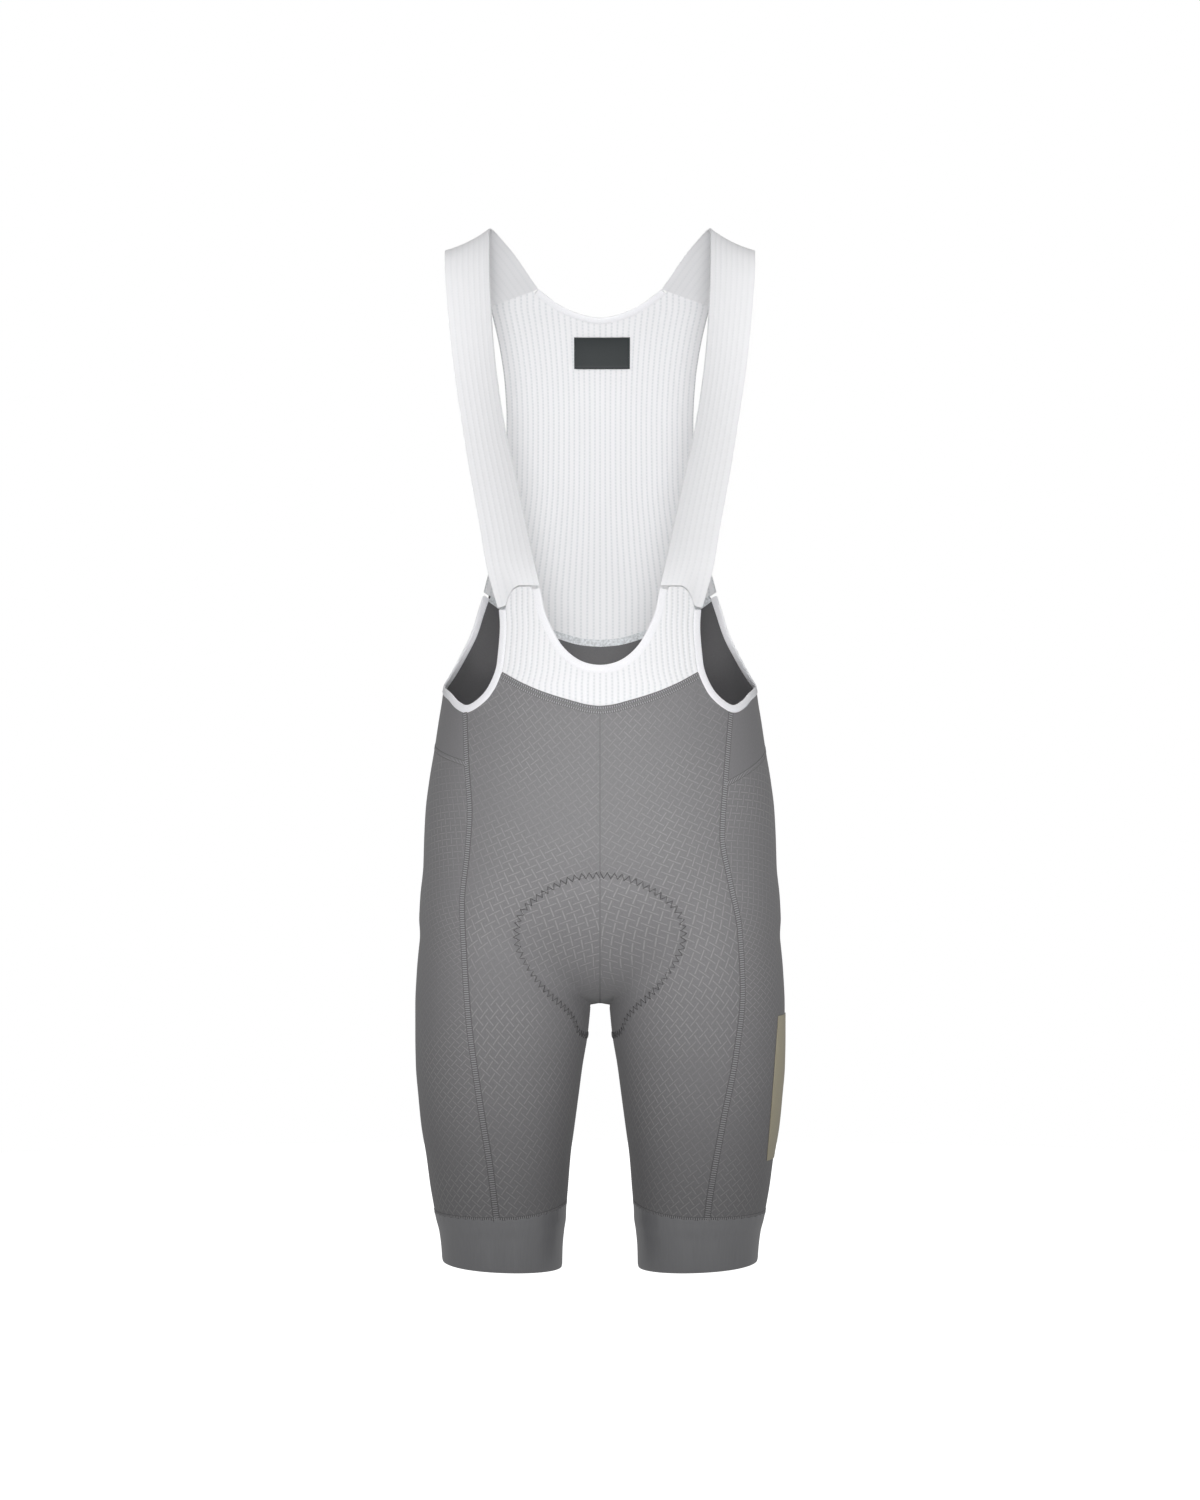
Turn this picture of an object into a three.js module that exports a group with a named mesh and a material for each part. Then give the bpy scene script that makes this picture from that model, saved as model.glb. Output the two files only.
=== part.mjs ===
// Cycling bib shorts, filled out as worn, each sewn piece a thin closed wall of its own.
// Millimetres, +Z up. The front faces -Y and +X is the wearer's left. The origin lies midway between the
// tops of the two shoulder straps, where the wearer's shoulders carry the garment.

import * as THREE from 'three';

// Fabric thicknesses and seam gaps
const CLOTH_WALL = 1.2;
const MESH_WALL = 1.1;
const STRAP_WALL = 1.2;
const GRIPPER_WALL = 1.4;
const BINDING_PROUD = 0.5; // how far a folded binding stands out of the cloth's face
const BINDING_WALL = 2.2;
const HALF_GAP = 0.15; // half of the gap between two sewn pieces
const EDGE_GAP = 1; // gap along a curved binding
const SLANT_GAP = 1.2; // upright gap where a seam runs steeply
const RIB_HEIGHT = 0.5; // relief of the ribbed mesh

// Heights of the main lines
const CROTCH_Z = -697.5;
const GRIPPER_TOP_Z = -883.5;
const GRIPPER_INNER_RISE = 8; // the gripper's seam sits higher at the inseam
const HEM_Z = -931;
const HEM_TILT = 3; // the hem is lower inside and higher outside by this much
const YOKE_BACK_Z = -445;
const YOKE_SIDE_Z = -462;

// Widths of the bindings and hems
const ARMHOLE_BINDING = 5.7;
const NECK_BINDING = 6.2;
const BACK_HEM = 4.5;

// Body form: superellipse sections of the torso, measured from the centre line
const TORSO_ROUNDNESS = 2.2;
const TORSO = [
  { z: 0, half: 128, front: 62, back: 60 },
  { z: -50, half: 137, front: 84, back: 84 },
  { z: -100, half: 145, front: 100, back: 100 },
  { z: -150, half: 150, front: 110, back: 108 },
  { z: -200, half: 151, front: 113, back: 110 },
  { z: -240, half: 150, front: 112, back: 108 },
  { z: -280, half: 147, front: 109, back: 103 },
  { z: -320, half: 142, front: 106, back: 98 },
  { z: -360, half: 139, front: 104, back: 95 },
  { z: -400, half: 139.3, front: 104, back: 96 },
  { z: -425, half: 142, front: 105, back: 98 },
  { z: -443, half: 144.9, front: 107, back: 101 },
  { z: -470, half: 149, front: 110, back: 106 },
  { z: -497, half: 153.5, front: 114, back: 112 },
  { z: -524, half: 156.8, front: 117, back: 117.5 },
  { z: -555, half: 158.3, front: 118, back: 121 },
  { z: -590, half: 159, front: 115, back: 121 },
  { z: -620, half: 157, front: 108, back: 117 },
  { z: -640, half: 145, front: 99, back: 109 },
  { z: -660, half: 122, front: 85, back: 94 },
  { z: -678, half: 88, front: 64, back: 71 },
  { z: -690, half: 52, front: 38, back: 43 },
  { z: -695, half: 28, front: 20, back: 23 },
  { z: -697, half: 14, front: 8, back: 9 },
  { z: CROTCH_Z, half: 3, front: 0.5, back: 0.5 },
];

// Body form: one leg, with the width over which it blends into the torso
const LEG_ROUNDNESS = 2.1;
const LEG = [
  { z: -560, inner: 10, outer: 140, front: 80, back: 85, blend: 14 },
  { z: -600, inner: 4, outer: 156, front: 95, back: 104, blend: 14 },
  { z: -640, inner: 4, outer: 162, front: 97, back: 108, blend: 13 },
  { z: -670, inner: 6, outer: 164.8, front: 95, back: 106, blend: 10 },
  { z: -699, inner: 8.6, outer: 166.1, front: 92, back: 101, blend: 5 },
  { z: -726, inner: 11.3, outer: 166.1, front: 89, back: 96, blend: 5 },
  { z: -753, inner: 15.8, outer: 165.6, front: 86, back: 92, blend: 5 },
  { z: -780, inner: 19.4, outer: 163.4, front: 83, back: 88, blend: 5 },
  { z: -807, inner: 23, outer: 160.7, front: 80, back: 84, blend: 5 },
  { z: -834, inner: 26.6, outer: 156.2, front: 77, back: 80, blend: 5 },
  { z: -861, inner: 28.8, outer: 152.6, front: 74, back: 76, blend: 5 },
  { z: -880, inner: 30.2, outer: 149.3, front: 72, back: 73.5, blend: 5 },
  { z: -890, inner: 30.4, outer: 147.6, front: 71, back: 72, blend: 5 },
  { z: -902, inner: 32, outer: 144.5, front: 69, back: 70, blend: 5 },
  { z: -917, inner: 33.4, outer: 142.6, front: 68.5, back: 69.5, blend: 5 },
  { z: -934, inner: 33.9, outer: 141.6, front: 68, back: 69, blend: 5 },
];

// The middle that a half's sections are turned about, from waist to leg
const CORE = [
  { z: -300, x: 36 },
  { z: -440, x: 40 },
  { z: -560, x: 55 },
  { z: -640, x: 76 },
  { z: -700, x: 87.5 },
  { z: -800, x: 91.5 },
  { z: -880, x: 90 },
  { z: -934, x: 87.8 },
];

// Front side seams, which differ a little between the two sides
const SEAM_RIGHT = [
  { z: -430, x: 119.5 },
  { z: -482, x: 117.2 },
  { z: -525, x: 114.2 },
  { z: -560, x: 116.4 },
  { z: -605, x: 120.9 },
  { z: -650, x: 119 },
  { z: -705, x: 115.3 },
  { z: -773, x: 106.4 },
  { z: -840, x: 96.2 },
  { z: -885, x: 91 },
];
const SEAM_LEFT = [
  { z: -430, x: 116 },
  { z: -500, x: 109.9 },
  { z: -545, x: 107 },
  { z: -583, x: 113.5 },
  { z: -628, x: 122.5 },
  { z: -683, x: 125.2 },
  { z: -739, x: 119.2 },
  { z: -795, x: 108.5 },
  { z: -863, x: 96.7 },
  { z: -885, x: 94 },
];
const SIDES = {
  right: { sign: -1, seam: SEAM_RIGHT, yokeZ: -482 },
  left: { sign: 1, seam: SEAM_LEFT, yokeZ: -500 },
};

// Free edge of an armhole, from the strap's front end round the bottom to the back
const ARMHOLE_EDGE = [
  { x: 88.9, z: -347, facing: -1 },
  { x: 88.1, z: -362, facing: -1 },
  { x: 89.5, z: -382, facing: -1 },
  { x: 92.2, z: -400, facing: -1 },
  { x: 100.8, z: -417.6, facing: -1 },
  { x: 110.1, z: -426.5, facing: -1 },
  { x: 117.7, z: -430, facing: -1 },
  { x: 125.6, z: -426.5, facing: -1 },
  { x: 133, z: -419, facing: -1 },
  { x: 139.2, z: -408, facing: 1 },
  { x: 134.9, z: -399, facing: 1 },
  { x: 129.5, z: -388, facing: 1 },
  { x: 119.3, z: -366, facing: 1 },
  { x: 112.2, z: -343, facing: 1 },
  { x: 107.6, z: -328, facing: 1 },
];

// Free edges of the front scoop and of the back neckline, right half
const SCOOP_EDGE = [
  { x: 52, z: -328.5 },
  { x: 47.9, z: -349 },
  { x: 41.8, z: -363.5 },
  { x: 33.5, z: -378 },
  { x: 23.2, z: -388 },
  { x: 12.9, z: -393.4 },
  { x: 0, z: -395.5 },
];
const NECKLINE_EDGE = [
  { x: 57, z: -45.3 },
  { x: 37, z: -59 },
  { x: 18.5, z: -66.5 },
  { x: 0, z: -70 },
];

// Seams between the mesh and its neighbours, by distance from the centre line
const BIB_SEAM = [
  { x: 0, z: -431.5 },
  { x: 10, z: -430.4 },
  { x: 25, z: -426.6 },
  { x: 48, z: -419.5 },
  { x: 67, z: -411.5 },
  { x: 87, z: -400.5 },
];
const YOKE_SEAM = [
  { x: 0, z: -368.5 },
  { x: 14, z: -367.5 },
  { x: 41, z: -360.4 },
  { x: 75, z: -346 },
  { x: 108, z: -324 },
];
const STRAP_FRONT_SEAM = [
  { x: 52.5, z: -327.5 },
  { x: 70, z: -327 },
  { x: 76, z: -330 },
  { x: 80, z: -337 },
  { x: 83, z: -344.5 },
  { x: 89.5, z: -346.5 },
];
const STRAP_BACK_SEAM = [
  { x: 57.4, z: -45 },
  { x: 101, z: -62 },
];

// Armhole side of the back mesh
const BACK_MESH_SIDE = [
  { z: -62, x: 101 },
  { z: -86, x: 95 },
  { z: -108, x: 90.8 },
  { z: -130, x: 88 },
  { z: -164, x: 86.2 },
  { z: -220, x: 87 },
  { z: -270, x: 94 },
  { z: -326, x: 107 },
];

// Edges of a strap over the shoulder, between its front seam and its back seam
const STRAP = [
  { inX: 58.1, inY: -100, inZ: -302, outX: 99.6, outY: -80, outZ: -309 },
  { inX: 66.3, inY: -102.5, inZ: -265, outX: 106.5, outY: -81, outZ: -268 },
  { inX: 74.8, inY: -101.5, inZ: -226, outX: 113.8, outY: -79, outZ: -229 },
  { inX: 81.8, inY: -98, inZ: -197, outX: 118.6, outY: -75.5, outZ: -200 },
  { inX: 87.8, inY: -91.5, inZ: -163, outX: 124, outY: -70.5, outZ: -166 },
  { inX: 92, inY: -83.5, inZ: -133, outX: 128.6, outY: -64.5, outZ: -136 },
  { inX: 95.1, inY: -73, inZ: -100, outX: 132.3, outY: -58, outZ: -105 },
  { inX: 97.2, inY: -59.5, inZ: -67, outX: 135.4, outY: -48, outZ: -75 },
  { inX: 98.5, inY: -44, inZ: -38, outX: 137.6, outY: -37, outZ: -50 },
  { inX: 99, inY: -25, inZ: -14, outX: 138.6, outY: -22, outZ: -30 },
  { inX: 99, inY: -3, inZ: -0.6, outX: 138.4, outY: -2, outZ: -20.5 },
  { inX: 91, inY: 19, inZ: -5.5, outX: 133.5, outY: 20, outZ: -24.5 },
  { inX: 77.5, inY: 44, inZ: -19, outX: 121, outY: 42, outZ: -38 },
];
const STRAP_BOW = 2.2; // how far a strap's middle stands out from its edges

// Seat pad: half width along its path from front to back, by angle below the horizontal
const PAD_CENTRE_Z = -620;
const PAD_THICKNESS = 7;
const PAD_GAP = 3.2;
const PAD = [
  { dip: -19, half: 22 },
  { dip: -14, half: 52 },
  { dip: -5, half: 68 },
  { dip: 8, half: 70 },
  { dip: 24, half: 60 },
  { dip: 42, half: 38 },
  { dip: 58, half: 16 },
  { dip: 75, half: 7 },
  { dip: 105, half: 7 },
  { dip: 122, half: 9 },
  { dip: 138, half: 27 },
  { dip: 158, half: 66 },
  { dip: 178, half: 76 },
  { dip: 190, half: 60 },
  { dip: 196, half: 28 },
];

// The pad lifts the cloth in front inside its stitched line
const PAD_LIFT = 2;
const PAD_LIFT_EDGE = 9; // distance over which the lift rises
const PAD_OVAL = { z: -638, halfWidth: 71, halfHeight: 58 };

// Label inside the back neck and reflective patch on the left thigh
const LABEL = { x: 1.9, z: -101.7, width: 52, height: 28.7, thickness: 1 };
const PATCH = { topZ: -706, bottomZ: -835, topX: 158, bottomX: 148, width: 45, thickness: 0.8 };

// Grid densities
const FRONT_COLUMNS = [7, 5];
const BACK_COLUMNS = [4, 6, 10];
const ARMHOLE_BEND = 0.3; // part of the yoke's armhole edge that bends most
const YOKE_ROWS = 3;
const CENTRE_LEVELS = [
  -431.5, -450, -472, -496, -524, -555, -588, -617, -641, -659, -673, -683, -690, -694, -696, -697, CROTCH_Z,
];
const FRONT_GATHER = 1.4; // how much of a front panel's width takes up the swing to the inseam
const BACK_GATHER = 2.5;
const LEG_FRACTIONS = [0.005, 0.03, 0.09, 0.19, 0.32, 0.47, 0.64, 0.82, 0.94, 1];
const BIB_RIBS = 34;
const BACK_RIBS = 36;
const STRAP_RIBS = 8;
const BACK_ROWS = [0, 0.055, 0.155, 0.3, 0.5, 0.75, 1]; // two of them just above and below the label

const BIB_ROWS = 6;
const STRAP_ROWS = 16;
const BAND_STEPS = { armhole: 34, neck: 36, backNeck: 26 };
const GRIPPER_GRID = { round: 34, down: 4 };
const PAD_COLUMNS = 10;
const LABEL_COLUMNS = 6;
const PATCH_GRID = { across: 5, down: 9 };

// Searches on the body form
const REACH = 260; // no surface lies further than this from the core
const PAST_CENTRE = 2; // how far a search may run past the centre line
const STEP = 0.5; // step of the numeric slopes
const HALVINGS = 40; // rounds of a search by halving
const SETTLING_ROUNDS = 12; // rounds in which a height settles on its line
const SETTLING_PACE = 0.7; // share of the way that it moves in one round
const FIRST_HEIGHT = { frontTop: -425, yokeTop: -400, bib: -400, backMesh: -200 };
const NEAR_INSEAM = -0.98 * Math.PI; // turn just short of the inseam

const COLOURS = {
  cloth: { color: 0x7d7f80, roughness: 0.62 },
  gripper: { color: 0x7a7b7d, roughness: 0.45 },
  mesh: { color: 0xeef0f2, roughness: 0.75 },
  binding: { color: 0xfafafc, roughness: 0.6 },
  label: { color: 0x232a2c, roughness: 0.55 },
  patch: { color: 0xa59e87, roughness: 0.4 },
  pad: { color: 0x3a3d40, roughness: 0.85 },
};

// Value of a table's column at a place along its key, as a monotone cubic through the rows
function valueAt(table, key, column, place) {
  const rising = table[table.length - 1][key] > table[0][key];
  const inside = (row) => (rising ? row[key] >= place : row[key] <= place);
  const next = table.findIndex(inside);
  if (next === 0) return table[0][column];
  if (next < 0) return table[table.length - 1][column];
  const slope = (i) => {
    const a = table[i];
    const b = table[i + 1];
    return (b[column] - a[column]) / (b[key] - a[key]);
  };
  const tangent = (i) => {
    if (i === 0) return slope(0);
    if (i === table.length - 1) return slope(i - 1);
    const before = slope(i - 1);
    const after = slope(i);
    return before * after <= 0 ? 0 : (2 * before * after) / (before + after);
  };
  const a = table[next - 1];
  const b = table[next];
  const span = b[key] - a[key];
  const t = (place - a[key]) / span;
  const rise = span * (tangent(next - 1) * t * (1 - t) ** 2 - tangent(next) * t * t * (1 - t));
  return a[column] + (b[column] - a[column]) * t * t * (3 - 2 * t) + rise;
}

const lerp = (a, b, t) => a + (b - a) * t;

// Evenly spaced fractions over one or more stretches
function spread(stops, counts) {
  const out = [stops[0]];
  counts.forEach((count, k) => {
    for (let i = 1; i <= count; i += 1) out.push(lerp(stops[k], stops[k + 1], i / count));
  });
  return out;
}

// The horizontal section of a half body at one height
const sections = new Map();
function sectionAt(z) {
  if (sections.has(z)) return sections.get(z);
  const read = (table, column) => valueAt(table, 'z', column, z);
  const cut = {
    core: read(CORE, 'x'),
    half: read(TORSO, 'half'),
    front: read(TORSO, 'front'),
    back: read(TORSO, 'back'),
    inner: read(LEG, 'inner'),
    outer: read(LEG, 'outer'),
    legFront: read(LEG, 'front'),
    legBack: read(LEG, 'back'),
    blend: read(LEG, 'blend'),
    hasTorso: z >= CROTCH_Z,
    hasLeg: z < LEG[0].z,
  };
  sections.set(z, cut);
  return cut;
}

function superellipse(x, y, half, depth, power) {
  const rho = ((Math.abs(x) / half) ** power + (Math.abs(y) / depth) ** power) ** (1 / power);
  return (rho - 1) * Math.min(half, depth);
}

// Roughly the distance outside the body form, negative inside: torso and leg joined by a smooth minimum
function outside(cut, x, y) {
  const torso = cut.hasTorso
    ? superellipse(x, y, cut.half, y < 0 ? cut.front : cut.back, TORSO_ROUNDNESS)
    : Infinity;
  if (!cut.hasLeg) return torso;
  const half = (cut.outer - cut.inner) / 2;
  const middle = (cut.outer + cut.inner) / 2;
  const leg = superellipse(Math.abs(x) - middle, y, half, y < 0 ? cut.legFront : cut.legBack, LEG_ROUNDNESS);
  if (!cut.hasTorso) return leg;
  const overlap = Math.max(cut.blend - Math.abs(torso - leg), 0) / cut.blend;
  return Math.min(torso, leg) - (overlap * overlap * cut.blend) / 4;
}

const outsideAt = (x, y, z) => outside(sectionAt(z), x, y);

// Outward normal of the body form; on the centre line it stays in the middle plane
function normalAt(p) {
  const dx = outsideAt(p.x + STEP, p.y, p.z) - outsideAt(p.x - STEP, p.y, p.z);
  const dy = outsideAt(p.x, p.y + STEP, p.z) - outsideAt(p.x, p.y - STEP, p.z);
  const above = p.z + STEP;
  const below = p.z > CROTCH_Z ? Math.max(p.z - STEP, CROTCH_Z) : p.z - STEP;
  const dz = (outsideAt(p.x, p.y, above) - outsideAt(p.x, p.y, below)) / (above - below);
  return new THREE.Vector3(dx / (2 * STEP), dy / (2 * STEP), dz).normalize();
}

// Where a straight line from an inside point leaves the body form
function leave(from, direction, reach) {
  let near = 0;
  let far = reach;
  for (let i = 0; i < HALVINGS; i += 1) {
    const middle = (near + far) / 2;
    const p = from.clone().addScaledVector(direction, middle);
    if (outsideAt(p.x, p.y, p.z) < 0) near = middle;
    else far = middle;
  }
  return from.clone().addScaledVector(direction, near);
}

// The point of a half's section at a turn about its core: -90 degrees is front, 0 the side, 90 back
function surfacePoint(z, turn) {
  const core = sectionAt(z).core;
  const direction = new THREE.Vector3(Math.cos(turn), Math.sin(turn), 0);
  const reach = direction.x < 0 ? Math.min(REACH, (core + PAST_CENTRE) / -direction.x) : REACH;
  return leave(new THREE.Vector3(core, 0, z), direction, reach);
}

// The turn at which the section meets the centre line, or the inseam below the crotch
function centreTurn(z, facing) {
  if (z < CROTCH_Z) return facing * Math.PI;
  const p = leave(new THREE.Vector3(0, 0, z), new THREE.Vector3(0, facing, 0), REACH);
  return Math.atan2(p.y, -sectionAt(z).core);
}

// The turn at which the front of the section has a given width from the centre line
function turnAtWidth(z, x) {
  let low = NEAR_INSEAM;
  let high = 0;
  for (let i = 0; i < HALVINGS; i += 1) {
    const middle = (low + high) / 2;
    if (surfacePoint(z, middle).x < x) low = middle;
    else high = middle;
  }
  return low;
}

function turnOf(p) {
  return Math.atan2(p.y, p.x - sectionAt(p.z).core);
}

// A turn moved along the section by a small length
function movedTurn(z, turn, length) {
  const p = surfacePoint(z, turn);
  return turn + length / Math.hypot(p.x - sectionAt(z).core, p.y);
}

const FRONT = -1;
const BACK = 1;

// The torso's depth at a width and height, on its front or back
function torsoPoint(x, z, facing) {
  const cut = sectionAt(z);
  const depth = facing < 0 ? cut.front : cut.back;
  const rest = Math.max(1 - (Math.abs(x) / cut.half) ** TORSO_ROUNDNESS, 0);
  return new THREE.Vector3(x, facing * depth * rest ** (1 / TORSO_ROUNDNESS), z);
}

// Moves a point along the normal until it lies on the body form
function seat(p) {
  for (let i = 0; i < 3; i += 1) {
    const distance = outsideAt(p.x, p.y, p.z);
    const n = normalAt(p);
    const probe = p.clone().addScaledVector(n, STEP);
    const rate = (outsideAt(probe.x, probe.y, probe.z) - distance) / STEP;
    p.addScaledVector(n, -distance / rate);
  }
  return p;
}

// Lines run beside a free edge, at a distance from it measured along the body form
function besideEdge(edge, distance, count) {
  const curve = new THREE.CatmullRomCurve3(edge, false, 'centripetal');
  const out = [];
  for (let i = 0; i <= count; i += 1) {
    const p = seat(curve.getPointAt(i / count));
    const away = curve.getTangentAt(i / count).cross(normalAt(p)).normalize();
    out.push(seat(p.addScaledVector(away, distance)));
  }
  return out;
}

const EDGE_SAMPLES = 80;
const armholeEdge = ARMHOLE_EDGE.map((row) => torsoPoint(row.x, row.z, row.facing));
const armholeCloth = besideEdge(armholeEdge, ARMHOLE_BINDING + EDGE_GAP, EDGE_SAMPLES);
const armholeByTurn = armholeCloth.map((p) => ({ turn: turnOf(p), z: p.z }));
const bothHalves = (rows, facing) => [
  ...rows.map((row) => torsoPoint(-row.x, row.z, facing)),
  ...rows.slice(0, -1).reverse().map((row) => torsoPoint(row.x, row.z, facing)),
];
const scoopEdge = bothHalves(SCOOP_EDGE, FRONT);
const necklineEdge = bothHalves(NECKLINE_EDGE, BACK).reverse();
const rightHalf = (points) => points.filter((p) => p.x >= 0).sort((a, b) => a.x - b.x);
const scoopCloth = rightHalf(besideEdge(scoopEdge, NECK_BINDING + EDGE_GAP, EDGE_SAMPLES));
const necklineCloth = rightHalf(besideEdge(necklineEdge, BACK_HEM + EDGE_GAP, EDGE_SAMPLES));

// Side of the front mesh, beside the armhole's binding, down to a little below the bib's seam
const BIB_SIDE_END = 12;
const bibSide = armholeCloth.filter((p) => p.y < 0 && p.z > BIB_SEAM.at(-1).z - BIB_SIDE_END);

function gripperTop(turn) {
  return GRIPPER_TOP_Z + GRIPPER_INNER_RISE * Math.max(-Math.cos(turn), 0) ** 2;
}

function hemHeight(turn) {
  return HEM_Z + HEM_TILT * Math.cos(turn);
}

// How far the pad lifts the cloth at a point
function padLift(p) {
  if (p.y > 0) return 0;
  const reach = Math.hypot(p.x / PAD_OVAL.halfWidth, (p.z - PAD_OVAL.z) / PAD_OVAL.halfHeight);
  const inward = ((1 - reach) * PAD_OVAL.halfHeight) / PAD_LIFT_EDGE;
  return PAD_LIFT * THREE.MathUtils.smoothstep(inward, 0, 1);
}

// A closed wall between an outer and an inner grid of points. The inner grid may skip columns.
function wallGeometry(outer, inner, skip = 1, closedRound = false) {
  const rows = outer.length;
  const outerColumns = outer[0].length;
  const innerColumns = inner[0].length;
  const positions = [...outer.flat(), ...inner.flat()].flatMap((p) => [p.x, p.y, p.z]);
  const out = (i, j) => i * outerColumns + (j % outerColumns);
  const inn = (i, j) => rows * outerColumns + i * innerColumns + (j % innerColumns);
  const faces = [];
  const quad = (a, b, c, d) => faces.push([a, b, c], [a, c, d]);
  const outerCells = closedRound ? outerColumns : outerColumns - 1;
  const innerCells = closedRound ? innerColumns : innerColumns - 1;
  for (let i = 0; i < rows - 1; i += 1) {
    for (let j = 0; j < outerCells; j += 1) quad(out(i, j), out(i + 1, j), out(i + 1, j + 1), out(i, j + 1));
    for (let j = 0; j < innerCells; j += 1) quad(inn(i, j), inn(i, j + 1), inn(i + 1, j + 1), inn(i + 1, j));
    if (!closedRound) {
      quad(out(i, 0), inn(i, 0), inn(i + 1, 0), out(i + 1, 0));
      quad(out(i, outerCells), out(i + 1, outerCells), inn(i + 1, innerCells), inn(i, innerCells));
    }
  }
  const rim = (i, turned) => {
    const add = (a, b, c) => faces.push(turned ? [a, c, b] : [a, b, c]);
    for (let k = 0; k < innerCells; k += 1) {
      for (let j = k * skip; j < (k + 1) * skip; j += 1) add(inn(i, k), out(i, j), out(i, j + 1));
      add(inn(i, k), out(i, (k + 1) * skip), inn(i, k + 1));
    }
  };
  rim(0, false);
  rim(rows - 1, true);
  return outwardGeometry(positions, faces);
}

// Indexed geometry with its faces turned so that its volume is positive
function outwardGeometry(positions, faces) {
  const at = (i) => new THREE.Vector3(positions[3 * i], positions[3 * i + 1], positions[3 * i + 2]);
  const volume = faces.reduce((sum, [a, b, c]) => sum + at(a).dot(at(b).cross(at(c))), 0);
  const turned = volume > 0 ? faces : faces.map(([a, b, c]) => [a, c, b]);
  const geometry = new THREE.BufferGeometry();
  geometry.setAttribute('position', new THREE.Float32BufferAttribute(positions, 3));
  geometry.setIndex(turned.flat());
  geometry.computeVertexNormals();
  return geometry;
}

// Offsets a grid of body points along their normals
function shifted(grid, distance) {
  return grid.map((row) => row.map((p, j) => {
    const length = typeof distance === 'function' ? distance(p, j) : distance;
    const moved = p.clone().addScaledVector(normalAt(p), length);
    if (p.x >= HALF_GAP) moved.x = Math.max(moved.x, HALF_GAP);
    return moved;
  }));
}

const mirrored = (grid, sign) => grid.map((row) => row.map((p) => new THREE.Vector3(sign * p.x, p.y, p.z)));
const everySecond = (grid) => grid.map((row) => row.filter((_, j) => j % 2 === 0));

function sewnPiece(name, geometry, finish) {
  const look = { ...COLOURS[finish], metalness: 0, side: THREE.DoubleSide };
  const material = new THREE.MeshStandardMaterial(look);
  const mesh = new THREE.Mesh(geometry, material);
  mesh.name = name;
  return mesh;
}

// Turns that are asked for again and again are kept
const turns = new Map();
function remembered(key, make) {
  if (!turns.has(key)) turns.set(key, make());
  return turns.get(key);
}

// Turn of a panel's edge at its side seam, pulled back from the seam on the panel's own side
function seamTurn(side, z, pull) {
  return remembered(`seam ${side.sign} ${z} ${pull}`, () => {
    const seam = turnAtWidth(z, valueAt(side.seam, 'z', 'x', z));
    return movedTurn(z, seam, pull);
  });
}

// Turn of a panel's edge on the centre line or at the inseam
function centreEdgeTurn(z, facing) {
  return remembered(`centre ${facing} ${z}`, () => movedTurn(z, centreTurn(z, facing), -facing * HALF_GAP));
}

// Turn of a column, where centreZ is its row's height on the centre line. Only the columns near the centre
// line follow it as it swings round to the inseam.
function frontTurn(side, u, z, centreZ) {
  const swing = centreEdgeTurn(centreZ, FRONT) + Math.PI;
  return lerp(-Math.PI, seamTurn(side, z, -HALF_GAP), u) + swing * (1 - u) ** FRONT_GATHER;
}

function backTurn(side, u, z, centreZ) {
  const swing = Math.PI - centreEdgeTurn(centreZ, BACK);
  return lerp(seamTurn(side, z, HALF_GAP), Math.PI, u) - swing * u ** BACK_GATHER;
}

// Height at which a column meets an edge line, whose height depends on where they meet
function edgeHeight(turnAt, line, start) {
  let z = start;
  for (let i = 0; i < SETTLING_ROUNDS; i += 1) {
    const turn = turnAt(z);
    z = lerp(z, line(surfacePoint(z, turn), turn), SETTLING_PACE);
  }
  return z;
}

// The fraction of a panel's width at which a point on its top edge lies
function fractionOf(p, turnAt) {
  let low = 0;
  let high = 1;
  for (let i = 0; i < HALVINGS; i += 1) {
    const middle = (low + high) / 2;
    if (turnAt(middle, p.z) < turnOf(p)) low = middle;
    else high = middle;
  }
  return low;
}

// A panel's point, kept on its own half; the crotch's own point is where all four panels meet
function panelPoint(z, turn, facing, onCentre) {
  if (onCentre && z === CROTCH_Z) return new THREE.Vector3(HALF_GAP, facing * HALF_GAP, z);
  const p = surfacePoint(z, turn);
  p.x = Math.max(p.x, HALF_GAP);
  return p;
}

const bibSeamHeight = (x) => valueAt(BIB_SEAM, 'x', 'z', Math.abs(x));
const yokeSeamHeight = (x) => valueAt(YOKE_SEAM, 'x', 'z', Math.abs(x));
const armholeHeight = (turn) => valueAt(armholeByTurn, 'turn', 'z', turn);

// The corner where the bib seam, or the yoke's seam, runs into the armhole's binding
const bibCorner = armholeCloth.find((p) => p.z < bibSeamHeight(p.x));
const yokeCorner = armholeCloth.find((p) => p.y > 0 && p.z > yokeSeamHeight(p.x)) ?? armholeCloth.at(-1);

function frontTopLine(p, turn) {
  return turn < turnOf(bibCorner) ? bibSeamHeight(p.x) - HALF_GAP : armholeHeight(turn);
}

function yokeTopLine(p, turn) {
  return turn > turnOf(yokeCorner) ? yokeSeamHeight(p.x) - HALF_GAP : armholeHeight(turn);
}

// Rows of a side seam above the crotch, as fractions from the armhole down to the crotch's height
function sideFractions(side) {
  const top = armholeHeight(turnAtWidth(side.seam[0].z, side.seam[0].x));
  const yoke = (side.yokeZ - top) / (CROTCH_Z - top);
  const below = CENTRE_LEVELS.length - 1 - YOKE_ROWS;
  return spread([0, yoke, 1], [YOKE_ROWS, below]);
}

const centreFractions = CENTRE_LEVELS.map((z) => (z - CENTRE_LEVELS[0]) / (CROTCH_Z - CENTRE_LEVELS[0]));

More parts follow.
